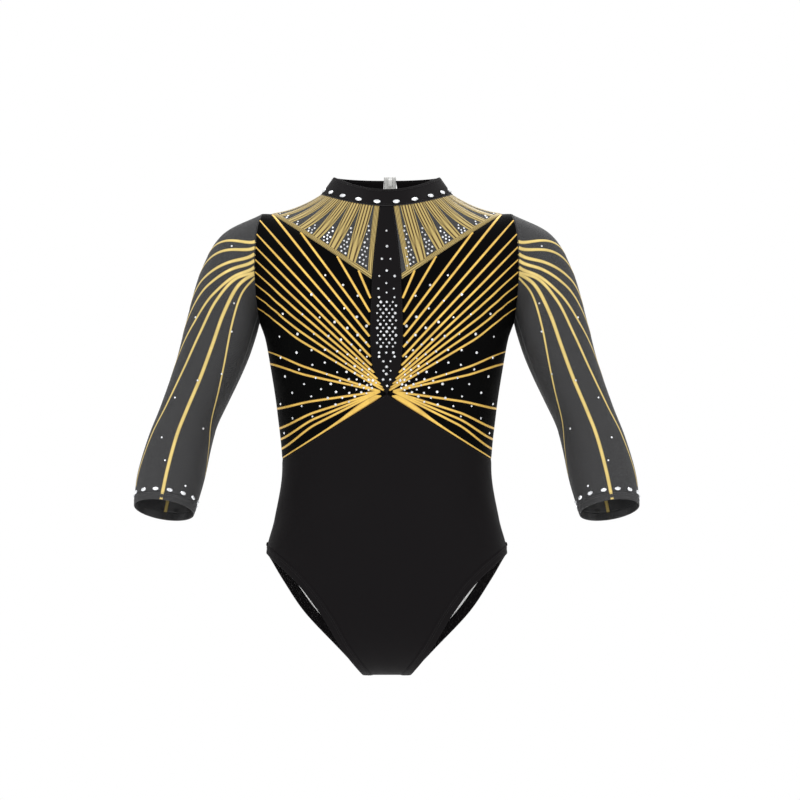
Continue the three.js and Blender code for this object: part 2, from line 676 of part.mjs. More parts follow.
// ---- finishes ----
const finish = (color, roughness, metalness = 0) =>
  new THREE.MeshStandardMaterial({ color, roughness, metalness, side: THREE.DoubleSide });
const black = finish(0x141415, 0.55);
const patterned = finish(0x2a2416, 0.5);
const fan = finish(0x6b5a2c, 0.45);
const sheer = finish(0x3c3c3e, 0.75);
const white = finish(0xf2f2f0, 0.5);
const metal = finish(0xe8e8e8, 0.3, 0.6);
const crystal = finish(0xe6eaf0, 0.1);
const lining = finish(0x202022, 0.8);

// ---- the garment ----
const garment = new THREE.Group();
garment.position.z = -neckSide;
function place(name, geometry, material, parent = garment) {
  const piece = new THREE.Mesh(geometry, material);
  piece.name = name;
  parent.add(piece);
  return piece;
}

const sides = [["left", 1], ["right", -1]];
const frontLower = lowerPanel(false);
const backLower = lowerPanel(true);
place("front_lower_panel", cloth(frontLower, bodyCloth), black);
place("back_lower_panel", cloth(backLower, bodyCloth), black);
place("front_centre_panel", cloth(centrePanel(), bodyCloth), black);
for (const [side, sign] of sides) {
  for (const [face, back] of [["front", false], ["back", true]]) {
    const { yoke, bodice } = upperPanels(back, sign);
    place(`${face}_yoke_${side}`, cloth(yoke, bodyCloth), fan);
    place(`${face}_bodice_${side}`, cloth(bodice, bodyCloth), patterned);
  }
  const cuffFrom = 1 - bandWidth / Math.hypot(outerX(1) - outerX(0), outerZ(1) - outerZ(0));
  const tubes = [
    ["upper_sleeve", 0, elbow, upperSleeveRows], ["lower_sleeve", elbow, cuffFrom, lowerSleeveRows],
    ["cuff_band", cuffFrom, 1, 1],
  ];
  for (const [name, from, to, rows] of tubes) {
    place(`${name}_${side}`, cloth(sleeveGrid(sign, from, to, rows), meshCloth, { wrap: true }), sheer);
  }
  place(`leg_band_${side}`, cloth(legBand(sign), bodyCloth, { wrap: true }), black);
}

const gusset = [...frontLower.slice(1, liningRows + 1).reverse(), ...backLower.slice(0, liningRows + 1)]
  .map((row) => row.slice(1, -1));
place("crotch_lining", cloth(gusset, liningCloth, { under: bodyCloth + layerGap }), lining);

const collarSeat = layerGap / (collarTopFront - neckFront); // its lower edge stands just clear of the panels
place("collar", cloth(collarGrid(collarSeat), collarCloth), black);
const inner = { under: collarCloth + layerGap };
place("collar_lining", cloth(collarGrid(4 * collarSeat), collarCloth, inner), lining);

const stoneStart = Math.asin((zipCentre + tapeHalf + stoneClear + stoneLong / 2) / collarTopHalf);
for (let i = 0; i < collarStones; i++) {
  const angle = stoneStart - Math.PI / 2 + ((2 * Math.PI - 2 * stoneStart) * i) / (collarStones - 1);
  const { p, n } = collarPoint(angle, stoneHeightShare);
  const up = collarPlace(angle, 1).sub(collarPlace(angle, 0)).normalize();
  const stone = place(`collar_stone_${String(i + 1).padStart(2, "0")}`, stoneGeometry(), crystal);
  stone.quaternion.setFromRotationMatrix(new THREE.Matrix4().makeBasis(up.clone().cross(n), up, n));
  stone.position.copy(p).addScaledVector(n, stoneSeat);
}

const label = steps(2, (v) => steps(3, (t) => {
  const x = zipCentre + tapeHalf + 6 + labelWidth * t;
  return bodyPoint(x, neckBack - 4 - labelHeight * (1 - v), true);
}));
place("care_label", cloth(label, labelThickness, { under: bodyCloth + layerGap + labelSlack }), white);

const zip = new THREE.Group();
zip.applyMatrix4(zipFrame);
garment.add(zip);
const chainSpan = [stopLength + runningGap, zipLength];
for (const [side, sign] of sides) {
  const x = [-sign * chainInner, -sign * chainOuter];
  place(`zip_tape_${side}`, tapeGeometry(-sign), white, zip);
  place(`zip_chain_${side}`, zipBox(x, chainSpan, [-chainDeep, chainProud]), white, zip);
  place(`zip_top_stop_${side}`, zipBox(x, [0, stopLength], [-chainDeep, chainProud]), metal, zip);
}
const bottomStop = [zipLength + runningGap, zipLength + runningGap + stopLength];
place("zip_bottom_stop", zipBox([-chainOuter, chainOuter], bottomStop, [-chainDeep, chainProud]), metal, zip);
place("zip_slider", await sliderGeometry(), metal, zip);
place("zip_pull_tab", tabGeometry(), metal, zip);

const group = new THREE.Group();
group.add(garment);
export default group;
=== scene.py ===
"""A long-sleeved competition leotard in stretch knit, gold foil and crystal, dressed over its solids.

Shapes are worked out in millimetres: heights count from the crotch seam, +X is the wearer's left and
the front faces -Y. to_row turns them into the frame's metres, whose origin is the base of the neck.
"""

import math

import bmesh
import bpy
import numpy as np
from bpy.props import FloatProperty, FloatVectorProperty, IntProperty, PointerProperty
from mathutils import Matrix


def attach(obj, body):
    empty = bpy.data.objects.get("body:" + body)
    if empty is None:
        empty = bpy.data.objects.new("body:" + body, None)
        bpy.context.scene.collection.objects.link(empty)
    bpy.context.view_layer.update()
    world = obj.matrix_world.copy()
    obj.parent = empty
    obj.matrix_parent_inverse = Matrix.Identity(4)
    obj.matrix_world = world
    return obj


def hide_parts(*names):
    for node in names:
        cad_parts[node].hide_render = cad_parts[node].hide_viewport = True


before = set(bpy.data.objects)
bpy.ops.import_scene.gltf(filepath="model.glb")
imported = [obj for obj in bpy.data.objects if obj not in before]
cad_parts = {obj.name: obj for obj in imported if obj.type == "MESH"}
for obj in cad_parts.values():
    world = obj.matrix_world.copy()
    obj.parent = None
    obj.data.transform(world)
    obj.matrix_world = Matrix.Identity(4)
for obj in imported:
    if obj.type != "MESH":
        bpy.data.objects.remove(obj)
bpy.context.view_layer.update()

bl_info = {
    "name": "Competition Leotard",
    "version": (1, 0, 0),
    "blender": (4, 5, 0),
    "location": "3D View > Sidebar > Leotard",
    "description": "Builds a long-sleeved leotard with gold foil rays, set stones and a back zip",
    "category": "Add Mesh",
}

# ---- heights on the form, from the crotch seam ----
HIP, WAIST, UNDERARM, SHOULDER_TIP, NECK_SIDE = 157.0, 264.0, 453.0, 593.6, 618.0
ARMHOLE = SHOULDER_TIP - UNDERARM
NECK_FRONT, NECK_BACK = NECK_SIDE - 17, NECK_SIDE + 4
COLLAR_SIDE = NECK_SIDE + 22
COLLAR_FRONT, COLLAR_BACK = COLLAR_SIDE - 18, COLLAR_SIDE - 2
SEAM_TURN = WAIST + 14  # where the V seam meets the side seam
SEAM_PEAK = SEAM_TURN + 84  # its tip at the centre
ZIP_FOOT = UNDERARM - 15
ZIP_TOP = COLLAR_BACK + 6

# ---- half widths ----
CROTCH_HALF, HIP_HALF, WAIST_HALF, CHEST_HALF = 30.5, 155.0, 134.7, 156.0
UNDERARM_HALF = CHEST_HALF + 7.6
ARMHOLE_FLARE, CHEST_FLARE = 4.8, 24.4
UPPER_CHEST_HALF = UNDERARM_HALF + CHEST_FLARE
SHOULDER_HALF = UNDERARM_HALF - 3.6
NECK_HALF, COLLAR_TOP_HALF = 84.7, 69.0

# ---- depths from the side seam plane ----
BELLY, WAIST_FRONT, BUST, NECK_FRONT_DEPTH, COLLAR_TOP_DEPTH = 92.0, 84.0, 109.0, 77.0, 66.0
SEAT, WAIST_BACK, UPPER_BACK, NAPE = 122.0, 80.0, 97.0, 64.0

# ---- how the form rounds over ----
SIDE_ROUNDNESS, SHOULDER_ROUND, CROTCH_ROUND_FRONT, CROTCH_ROUND_BACK = 2.3, 70.0, 95.0, 120.0

# ---- seams on the front and back ----
SPEAR_TOP, SPEAR_WIDE, SPEAR_TAPER, SPEAR_TIP = 9.0, 18.8, 38.0, 0.9
YOKE_TIP = SHOULDER_TIP - 86.6
YOKE_SHOULDER = SHOULDER_HALF - 11
BAND = 12.0  # leg and cuff bands

# ---- zip, in its own frame: x across, down along it, out of the back ----
ZIP_CENTRE, TAPE_HALF, TAPE_THICK, TAPE_POINT = 4.0, 8.0, 0.8, 6.0
CHAIN_INNER, CHAIN_OUTER, CHAIN_PROUD, CHAIN_DEEP = 0.6, 2.3, 0.9, 1.1
STOP, RUNNING_GAP = 2.4, 0.35
ZIP_END = ZIP_FOOT - STOP - 2 * RUNNING_GAP - 3  # where the tapes start to narrow
ZIP_TILT = (UPPER_BACK - NAPE) / (NECK_BACK - ZIP_FOOT)
ZIP_LENGTH = (ZIP_TOP - ZIP_FOOT) * math.hypot(1, ZIP_TILT)

SIDES = (("left", 1), ("right", -1))
FACES = (("front", False), ("back", True))


# ---- sizes and colours that can be changed ----
def length(name, description, default):
    """A length in metres, given in millimetres."""
    return FloatProperty(
        name=name, description=description, default=default / 1000, min=0, unit="LENGTH", precision=5
    )


def colour(name, description, default):
    """A linear colour."""
    return FloatVectorProperty(
        name=name, description=description, default=default, size=3, min=0, max=1, subtype="COLOR"
    )


def how_many(name, description, default):
    """A number of repeated pieces."""
    return IntProperty(name=name, description=description, default=default, min=1)


class LeotardSizes(bpy.types.PropertyGroup):
    """Sizes of cloth, print, stones and thread"""

    knit: length("Knit", "Thickness of the body panels", 1.2)
    mesh: length("Mesh", "Thickness of the sheer sleeves", 0.8)
    lining: length("Lining", "Thickness of the crotch lining", 0.8)
    collar: length("Collar layer", "Thickness of each collar layer", 1.1)
    layer_gap: length("Layer gap", "Clear space between two layers of cloth", 0.4)
    seam_dip: length("Seam dip", "How far the cloth dips into its seams", 0.7)
    foil: length("Foil", "How far the foil stands off the cloth", 0.22)
    ray: length("Ray", "Width of a gold ray at its outer end", 3.3)
    stripe: length("Sleeve stripe", "Width of a gold stripe on the sleeve", 4.9)
    border: length("Yoke border", "Width of the gold border round a yoke", 6.6)
    small_stone: length("Small stone", "Diameter of the smallest set stone", 2.5)
    large_stone: length("Large stone", "Diameter of the largest set stone", 4.0)
    oval_long: length("Oval stone, long way", "Length of a collar or cuff stone", 9)
    oval_high: length("Oval stone, short way", "Height of a collar or cuff stone", 5.6)
    thread: length("Thread", "Thickness of the sewing thread", 0.45)
    stitch: length("Stitch", "Length of one stitch with its gap", 3.2)
    coil_pitch: length("Coil pitch", "Distance between two turns of the zip's coil", 1.25)
    coil_wire: length("Coil wire", "Thickness of the zip's coil wire", 0.62)


class LeotardCounts(bpy.types.PropertyGroup):
    """How many of each repeated piece"""

    windows: how_many("Windows", "Sheer windows in each yoke", 7)
    collar_stones: how_many("Collar stones", "Ovals round the collar", 20)
    cuff_stones: how_many("Cuff stones", "Ovals round each cuff", 14)
    sleeve_stones: how_many("Sleeve stones", "Round stones down a sleeve's front and down its back", 11)
    scatter: how_many("Scattered stones", "Stones strewn over each bodice panel, less those off its edge", 96)


class LeotardColours(bpy.types.PropertyGroup):
    """Colours of cloth, foil, stones and zip"""

    black: colour("Black knit", "Body, collar and bands", (0.0042, 0.0036, 0.004))
    deep_black: colour("Printed black", "Ground under the rays", (0.0006, 0.0006, 0.0006))
    charcoal: colour("Mesh", "Sheer sleeves and yokes", (0.030, 0.030, 0.031))
    gold: colour("Gold", "Middle of a foil line", (0.78, 0.51, 0.10))
    pale_gold: colour("Pale gold", "Foil on the sheer mesh", (0.70, 0.53, 0.18))
    # The foil edge colour is painted shade at the edges of the rays. It also fills their crackle and the yoke
    # fan's printed brown lines.
    brown: colour("Foil edge", "Dark edge of a foil line", (0.20, 0.10, 0.015))
    crystal: colour("Crystal", "Foil-backed glass stones", (0.90, 0.92, 0.95))
    white: colour("White", "Zip tape, coil and label", (0.82, 0.82, 0.80))
    floor: colour("Floor", "Pale studio floor", (0.93, 0.93, 0.93))


def sizes():
    """The sizes set in the scene."""
    return bpy.context.scene.leotard_sizes


def counts():
    """The counts set in the scene."""
    return bpy.context.scene.leotard_counts


def colours():
    """The colours set in the scene."""
    return bpy.context.scene.leotard_colours


def mm(name):
    """A size in millimetres."""
    return getattr(sizes(), name) * 1000


# ---- curves and places on the form ----
def spread(start, end, count):
    """Even steps from start to end, both included."""
    return np.linspace(start, end, count)


def to_row(points):
    """Millimetres with heights from the crotch, in the frame's metres."""
    return (np.asarray(points, float) - (0, 0, NECK_SIDE)) / 1000


def smooth(rows):
    """Smooth curve through rows of (place, value): a cubic between each two rows, with the slope at a
    row that of the line between its two neighbours."""
    place, value = np.array(rows, float).T
    row = np.arange(len(place))
    before, after = np.maximum(row - 1, 0), np.minimum(row + 1, len(row) - 1)
    slope = (value[after] - value[before]) / (place[after] - place[before])

    def at(where):
        where = np.asarray(where, float)
        i = np.clip(np.searchsorted(place, where) - 1, 0, len(place) - 2)
        span = place[i + 1] - place[i]
        t = np.clip((where - place[i]) / span, 0, 1)
        t2, t3 = t * t, t * t * t
        low = value[i] * (2 * t3 - 3 * t2 + 1) + slope[i] * span * (t3 - 2 * t2 + t)
        return low + value[i + 1] * (3 * t2 - 2 * t3) + slope[i + 1] * span * (t3 - t2)

    return at


def ease(t):
    """Close steps towards 1, as a quarter of a sine wave."""
    return np.sin(np.asarray(t) * np.pi / 2)


def soft_step(t):
    """From 0 to 1 with a level start and end: three squares less two cubes."""
    return t * t * (3 - 2 * t)


body_half = smooth([
    (0, HIP_HALF - 3), (HIP, HIP_HALF), (HIP + (WAIST - HIP) * 0.4, (HIP_HALF + WAIST_HALF) / 2),
    (WAIST, WAIST_HALF), (WAIST + (UNDERARM - WAIST) * 0.4, WAIST_HALF * 0.7 + CHEST_HALF * 0.3),
    (WAIST + (UNDERARM - WAIST) * 0.7, WAIST_HALF * 0.3 + CHEST_HALF * 0.7),
    (UNDERARM - 21, CHEST_HALF), (UNDERARM, UNDERARM_HALF),
    (UNDERARM + ARMHOLE / 3, UPPER_CHEST_HALF - CHEST_FLARE / 3),
    (UNDERARM + ARMHOLE * 0.76, UPPER_CHEST_HALF), (NECK_SIDE + 32, UPPER_CHEST_HALF),
])
front_depth = smooth([
    (0, BELLY - 12), (HIP * 0.4, BELLY - 6), (HIP * 0.9, BELLY), (HIP + (WAIST - HIP) * 0.4, BELLY),
    (WAIST, WAIST_FRONT), (WAIST + (UNDERARM - WAIST) * 0.4, (WAIST_FRONT * 2 + BUST) / 3),
    (WAIST + (UNDERARM - WAIST) * 0.72, BUST - 4), (UNDERARM - 13, BUST),
    (UNDERARM + ARMHOLE / 3, (BUST * 2 + NECK_FRONT_DEPTH) / 3),
    (NECK_FRONT, NECK_FRONT_DEPTH), (NECK_SIDE + 32, NECK_FRONT_DEPTH - 5),
])


def back_line(z):
    """Depth of the back along the zip: a straight line, so that the slider can run."""
    return UPPER_BACK - (z - ZIP_FOOT) * ZIP_TILT


LINE_START = ZIP_FOOT - 10
back_low = smooth([
    (0, SEAT - 26), (HIP * 0.4, SEAT - 6), (HIP * 0.83, SEAT),
    (HIP + (WAIST - HIP) * 0.4, (SEAT + WAIST_BACK) / 2 + 3), (WAIST, WAIST_BACK),
    (WAIST + (UNDERARM - WAIST) * 0.4, (WAIST_BACK + UPPER_BACK) / 2),
    (WAIST + (UNDERARM - WAIST) * 0.67, UPPER_BACK - 1.5),
    (LINE_START, back_line(LINE_START)), (LINE_START + 40, back_line(LINE_START + 40)),
])
armhole_x = smooth([
    (UNDERARM, UNDERARM_HALF), (UNDERARM + ARMHOLE * 0.25, UNDERARM_HALF + ARMHOLE_FLARE * 0.75),
    (UNDERARM + ARMHOLE * 0.55, UNDERARM_HALF + ARMHOLE_FLARE),
    (UNDERARM + ARMHOLE * 0.85, UNDERARM_HALF + ARMHOLE_FLARE * 0.45), (SHOULDER_TIP, SHOULDER_HALF),
])
spear_half = smooth([
    (SEAM_PEAK, SPEAR_TIP), (SEAM_PEAK + SPEAR_TAPER, SPEAR_WIDE),
    (YOKE_TIP, SPEAR_WIDE), (NECK_FRONT, SPEAR_TOP),
])


def leg_edge(shares):
    """Half width of a leg opening over height, from shares of the way from the crotch to the hip."""
    reach = HIP_HALF - CROTCH_HALF
    return smooth([(HIP * up, CROTCH_HALF + reach * out) for up, out in [(0, 0), *shares, (1, 1)]])


leg_front = leg_edge([(0.23, 0.216), (0.49, 0.408), (0.77, 0.676)])
leg_back = leg_edge([(0.16, 0.213), (0.48, 0.606), (0.75, 0.831)])


def depth(z, back):
    """Depth of the form at the centre, on the front or the back."""
    return np.where(back, np.where(z < LINE_START, back_low(z), back_line(z)), front_depth(z))


def shoulder_line(x):
    """Height of the shoulder seam over |x|: a parabola that climbs from the armhole to the neck."""
    curve = (NECK_SIDE - SHOULDER_TIP) * ((SHOULDER_HALF - x) / (SHOULDER_HALF - NECK_HALF)) ** 2
    inside = NECK_SIDE + NECK_HALF - x
    return np.where(x < NECK_HALF, inside, np.where(x > SHOULDER_HALF, SHOULDER_TIP, SHOULDER_TIP + curve))


YOKE_OUTER = float(shoulder_line(YOKE_SHOULDER))  # height of the yoke's corner on the shoulder
YOKE_RISE = YOKE_OUTER - YOKE_TIP


def fullness(x, z, back):
    """Square of the form's depth at (x, z) as a share of its full depth: a superellipse across, times a
    quarter circle that rounds over at the shoulder, times one that rounds under at the crotch."""
    across = 1 - (np.abs(x) / body_half(z)) ** SIDE_ROUNDNESS
    under = np.clip((shoulder_line(np.abs(x)) - z) / SHOULDER_ROUND, 0, 1)
    over = np.clip(z / np.where(back, CROTCH_ROUND_BACK, CROTCH_ROUND_FRONT), 0, 1)
    return across * (1 - (1 - under) ** 2) * (1 - (1 - over) ** 2)


def form(x, z, back):
    """Points and outward normals of the form. A point's depth is the centre's depth times the root of
    the fullness, and its normal is the slope of (y / depth) squared less the fullness."""
    x, z, back = np.broadcast_arrays(np.asarray(x, float), np.asarray(z, float), back)
    side = np.where(back, 1.0, -1.0)
    y = side * depth(z, back) * np.sqrt(np.maximum(fullness(x, z, back), 0))
    e = 0.05

    def field(dx, dy, dz):
        return ((y + dy) / depth(z + dz, back)) ** 2 - fullness(x + dx, z + dz, back)

    normal = np.stack([
        field(e, 0, 0) - field(-e, 0, 0), field(0, e, 0) - field(0, -e, 0), field(0, 0, e) - field(0, 0, -e),
    ], -1)
    size = np.linalg.norm(normal, axis=-1, keepdims=True)
    flat = np.stack([np.zeros_like(side), side, np.zeros_like(side)], -1)
    normal = np.where(size < 1e-9, flat, normal / np.maximum(size, 1e-9))
    return np.stack([x, y, z], -1), normal


# ---- seam lines, as (distance from the centre, height) ----
SIDE_HALF = float(body_half(SEAM_TURN))
SEAM_WIDTH = 2.4  # how far from a seam the cloth starts to dip
LEG_SHARE = 11 / 16  # share of a lower panel's rows that meet the leg opening
SIDE_SHARE = 6 / 16  # share of a bodice's rows below the underarm
YOKE_SHARE = 8 / 9  # share of a bodice's top edge that lies under the yoke


def v_height(x):
    """The V seam: a straight line from its tip down to the side seam."""
    return SEAM_PEAK - (SEAM_PEAK - SEAM_TURN) * x / SIDE_HALF


def neck_height(x, back):
    """The neck seam: a parabola from the centre up to the shoulder."""
    low = NECK_BACK if back else NECK_FRONT
    return low + (NECK_SIDE - low) * (x / NECK_HALF) ** 2


def back_edge(z, sign):
    """Where a back panel stops: beside the zip's tape, which closes to a point below the zip."""
    off = sign * ZIP_CENTRE
    closing = off * np.clip((z - SEAM_PEAK) / (ZIP_END - TAPE_POINT - SEAM_PEAK), 0, 1)
    return np.where(z >= ZIP_END - 0.001, off + TAPE_HALF, closing)


def inner_edge(z, back, sign):
    """Where a yoke or bodice stops at the centre."""
    return back_edge(z, sign) if back else spear_half(z)


def seam_dip(x, z, back):
    """How far the cloth dips beside a seam: a bell curve of the distance to the V seam, the yoke's
    lower edge and, in front, the centre panel's edge."""
    across = np.abs(x)
    slope = (SEAM_PEAK - SEAM_TURN) / SIDE_HALF
    v = np.abs(z - v_height(across)) / math.hypot(1, slope)
    rise = YOKE_RISE / (YOKE_SHOULDER - SPEAR_WIDE)
    yoke = np.abs(z - YOKE_TIP - rise * (across - SPEAR_WIDE)) / math.hypot(1, rise)
    spear = np.where(back | (z < SEAM_PEAK), 99.0, np.abs(across - spear_half(z)))
    return sum(np.exp(-((d / SEAM_WIDTH) ** 2)) for d in (v, yoke, spear))


def skin(x, z, back, lift=0.0):
    """Points and normals of the cloth's outer face: the form, less the dip into the seams and a faint
    pull that fans out from under the arms, plus the wanted lift."""
    place, normal = form(x, z, back)
    across, z = np.abs(place[..., 0]), place[..., 2]
    reach = np.hypot(across - UNDERARM_HALF, z - UNDERARM)
    turn = np.arctan2(z - UNDERARM, UNDERARM_HALF - across)
    pull = 0.35 * np.sin(turn * 9) * np.exp(-((reach - 34) / 22) ** 2)
    dip = mm("seam_dip") * seam_dip(place[..., 0], z, back)
    return place + normal * (lift + pull - dip)[..., None], normal


def coons(bottom, top, start, end):
    """Flat place for (u, v) between four edges that share their corners: the two ways of joining
    opposite edges by straight lines, added, less the straight patch through the corners."""

    def at(u, v):
        u, v = np.broadcast_arrays(np.asarray(u, float), np.asarray(v, float))
        b, t, s, e = bottom(u), top(u), start(v), end(v)
        zero, one = np.zeros_like(u), np.ones_like(u)
        u1, v1 = u[..., None], v[..., None]
        low = bottom(zero) * (1 - u1) + bottom(one) * u1
        high = top(zero) * (1 - u1) + top(one) * u1
        return b * (1 - v1) + t * v1 + s * (1 - u1) + e * u1 - low * (1 - v1) - high * v1

    return at


def pair(x, z):
    """Flat places from distances and heights."""
    return np.stack(np.broadcast_arrays(x, z), -1)


def under_shoulder(flat):
    """The flat places, none above the shoulder seam."""
    return pair(flat[..., 0], np.minimum(flat[..., 1], shoulder_line(flat[..., 0])))


def yoke_place(back, sign):
    """Flat places on a yoke: u from the centre out to the shoulder, v from the lower edge up."""
    tip = float(inner_edge(YOKE_TIP, back, sign))
    start = float(inner_edge(NECK_BACK, back, sign)) if back else SPEAR_TOP
    neck_low = float(neck_height(start, back))

    # Its edges: a straight one on the bodice, the neck's curve, the centre's edge, the shoulder line
    def low(u):
        return pair(tip + (YOKE_SHOULDER - tip) * u, YOKE_TIP + YOKE_RISE * u)

    def top(u):
        x = start + (NECK_HALF - start) * u
        return pair(x, neck_height(x, back))

    def inner(v):
        z = YOKE_TIP + (neck_low - YOKE_TIP) * v
        return pair(np.where(v > 0.9999, start, inner_edge(z, back, sign)), z)

    def shoulder(v):
        x = YOKE_SHOULDER + (NECK_HALF - YOKE_SHOULDER) * v
        return pair(x, shoulder_line(x))

    place = coons(low, top, inner, shoulder)
    return lambda u, v: under_shoulder(place(u, v))


def bodice_place(back, sign):
    """Flat places on a bodice: u from the centre out to the side, v from the V seam up. The top edge is
    the yoke's, then the shoulder line."""
    tip = float(inner_edge(YOKE_TIP, back, sign))
    low = float(inner_edge(SEAM_PEAK, back, sign))
    seam_top = ZIP_END - TAPE_POINT
    middle, half = (SHOULDER_TIP + UNDERARM) / 2, ARMHOLE / 2

    # Its edges: the V seam, the yoke and shoulder, the centre's edge, and the side and armhole, where
    # the armhole's heights follow a cosine
    def bottom(u):
        x = low + (SIDE_HALF - low) * ease(u)
        return pair(x, v_height(x))

    def top(u):
        share, under = ease(np.clip(u / YOKE_SHARE, 0, 1)), u <= YOKE_SHARE
        past = (u - YOKE_SHARE) / (1 - YOKE_SHARE)
        x = np.where(under, tip + (YOKE_SHOULDER - tip) * share,
                     YOKE_SHOULDER + (SHOULDER_HALF - YOKE_SHOULDER) * past)
        return pair(x, np.where(under, YOKE_TIP + YOKE_RISE * share, shoulder_line(x)))

    def inner(v):
        shares = [0, SIDE_SHARE, SIDE_SHARE + 1 / 16, 1]
        z = np.interp(v, shares, [float(v_height(low)), seam_top, ZIP_END, YOKE_TIP])
        return pair(inner_edge(z, back, sign), z)

    def outer_edge(v):
        side = SEAM_TURN + (UNDERARM - SEAM_TURN) * v / SIDE_SHARE
        hole = middle - half * np.cos(np.pi * np.clip((v - SIDE_SHARE) / (1 - SIDE_SHARE), 0, 1))
        z = np.where(v <= SIDE_SHARE, side, hole)
        return pair(np.where(v <= SIDE_SHARE, body_half(z), armhole_x(z)), z)

    place = coons(bottom, top, inner, outer_edge)
    return lambda u, v: under_shoulder(place(u, v))


def leg_line(t, back):
    """The leg band's inner edge: square to the leg opening, so it turns upright towards the side."""
    z = HIP * soft_step(t)
    lean = np.pi / 2 * (z / HIP) ** 1.5
    height = z + BAND * np.sin(lean)
    leg = leg_back if back else leg_front
    return pair(np.minimum(leg(z) - BAND * np.cos(lean), body_half(height)), height)


def lower_place(back):
    """Flat places on a lower panel: a from side to side, v from the crotch up to the V seam. A row is
    level at the crotch and bends up to the seam's slope, by the square of its height."""
    leg_top = HIP + BAND

    def at(a, v):
        a, v = np.broadcast_arrays(a, v)
        leg = leg_line(np.clip(v / LEG_SHARE, 0, 1), back)
        z = leg_top + (SEAM_TURN - leg_top) * np.clip((v - LEG_SHARE) / (1 - LEG_SHARE), 0, 1)
        above = v > LEG_SHARE
        x, z = np.where(above, body_half(z), leg[..., 0]), np.where(above, z, leg[..., 1])
        share = ease(np.abs(a))
        peak = np.maximum(z - HIP / 2, 0) / (SEAM_TURN - HIP / 2)
        return pair(np.sign(a) * x * share, z + (SEAM_PEAK - SEAM_TURN) * peak**2 * (1 - share))

    return at


# ---- sleeves ----
# Rings from the armhole to the wrist: outer end from the armhole's top, inner end from the underarm,
# middle y, half depth, and how far the ring leans forward
SLEEVE_RINGS = (
    ((0, 0), (0, 0), 2, 46, 0), ((52, -27), (4, -15), 4, 56, 0), ((80, -75), (13, -42), 6, 53, 2),
    ((98, -137), (25, -70), 8, 48, 4), ((112, -191), (40, -101), 8, 44, 7),
    ((131, -247), (55, -133), 4, 42, 11), ((147, -289), (63, -163), -5, 41, 16),
    ((160, -336), (71, -203), -20, 39, 20), ((163.5, -375), (83, -245), -37, 37, 22),
)


def ring_value(pick):
    """Smooth curve of one of the rings' values over the share down the sleeve."""
    last = len(SLEEVE_RINGS) - 1
    return smooth([(i / last, pick(ring)) for i, ring in enumerate(SLEEVE_RINGS)])


outer_x = ring_value(lambda ring: SHOULDER_HALF + ring[0][0])
outer_z = ring_value(lambda ring: SHOULDER_TIP + ring[0][1])
inner_x = ring_value(lambda ring: UNDERARM_HALF + ring[1][0])
inner_z = ring_value(lambda ring: UNDERARM + ring[1][1])
ring_y = ring_value(lambda ring: ring[2])
ring_deep = ring_value(lambda ring: ring[3])
ring_pitch = ring_value(lambda ring: math.radians(ring[4]))
CUFF_FROM = 1 - BAND / math.hypot(outer_x(1) - outer_x(0), outer_z(1) - outer_z(0))


ARMHOLE_BLEND = 0.2  # share of the sleeve over which it leaves the armhole's shape


def sleeve_point(s, turn, sign):
    """Point at share s down the sleeve and angle turn round it, from the armpit up the front and down
    the back: an oval ring, blended by a square into the armhole's own shape at the top."""
    s, turn = np.broadcast_arrays(np.asarray(s, float), np.asarray(turn, float))
    reach = -np.cos(turn)

    def between(a, b):
        return (a * (1 + reach) + b * (1 - reach)) / 2

    deep = ring_deep(s) * np.sin(turn)
    place = np.stack([
        between(outer_x(s), inner_x(s)), ring_y(s) - deep * np.cos(ring_pitch(s)),
        between(outer_z(s), inner_z(s)) + deep * np.sin(ring_pitch(s)),
    ], -1)
    z = between(SHOULDER_TIP, UNDERARM)
    seam, _ = form(armhole_x(z), z, np.mod(turn, 2 * np.pi) > np.pi + 1e-6)
    seam[..., 0] += between(outer_x(s) - outer_x(0), inner_x(s) - inner_x(0))
    seam[..., 2] += between(outer_z(s) - outer_z(0), inner_z(s) - inner_z(0))
    join = (np.maximum(1 - s / ARMHOLE_BLEND, 0) ** 2)[..., None]
    return (place * (1 - join) + seam * join) * (sign, 1, 1)


def sleeve(s, turn, sign, lift=0.0):
    """Points and normals of the sleeve's outer face, from the cross product of its two directions."""
    e, d = 0.01, 0.06
    around = sleeve_point(s, turn + d, sign) - sleeve_point(s, turn - d, sign)
    down = sleeve_point(np.minimum(s + e, 1), turn, sign) - sleeve_point(np.maximum(s - e, 0), turn, sign)
    normal = unit(np.cross(down, around)) * sign
    return sleeve_point(s, turn, sign) + normal * lift, normal


def unit(v):
    """Vectors of length 1."""
    return v / np.maximum(np.linalg.norm(v, axis=-1, keepdims=True), 1e-12)


# ---- collar ----
def collar_point(angle, share):
    """Point on the collar: from the neck seam at share 0 to a smaller ring at share 1. Angle 0 is the
    wearer's left and a quarter turn is the centre front."""
    angle, share = np.broadcast_arrays(np.asarray(angle, float), np.asarray(share, float))
    c, s = np.cos(angle), np.sin(angle)
    back = s < 0
    x = NECK_HALF * c
    low = np.where(back, NECK_BACK, NECK_FRONT)
    base, _ = form(x, low + (NECK_SIDE - low) * c * c, back)
    deep = np.where(back, back_line(COLLAR_BACK), -COLLAR_TOP_DEPTH)
    top_z = COLLAR_SIDE - (COLLAR_SIDE - np.where(back, COLLAR_BACK, COLLAR_FRONT)) * s * s
    around = np.where(back, np.sqrt(np.maximum(1 - np.abs(c) ** SIDE_ROUNDNESS, 0)), s)
    top = np.stack([COLLAR_TOP_HALF * c, deep * around, top_z], -1)
    return base + (top - base) * share[..., None]


def collar_up(angle):
    """The way up along the collar, from its neck seam to its top."""
    return collar_point(angle, 1) - collar_point(angle, 0)


def collar(angle, share, lift=0.0):
    """Points and normals of the collar's outer face."""
    e = 0.01
    around = collar_point(angle + e, share) - collar_point(angle - e, share)
    normal = unit(np.cross(collar_up(angle), around))
    return collar_point(angle, share) + normal * lift, normal


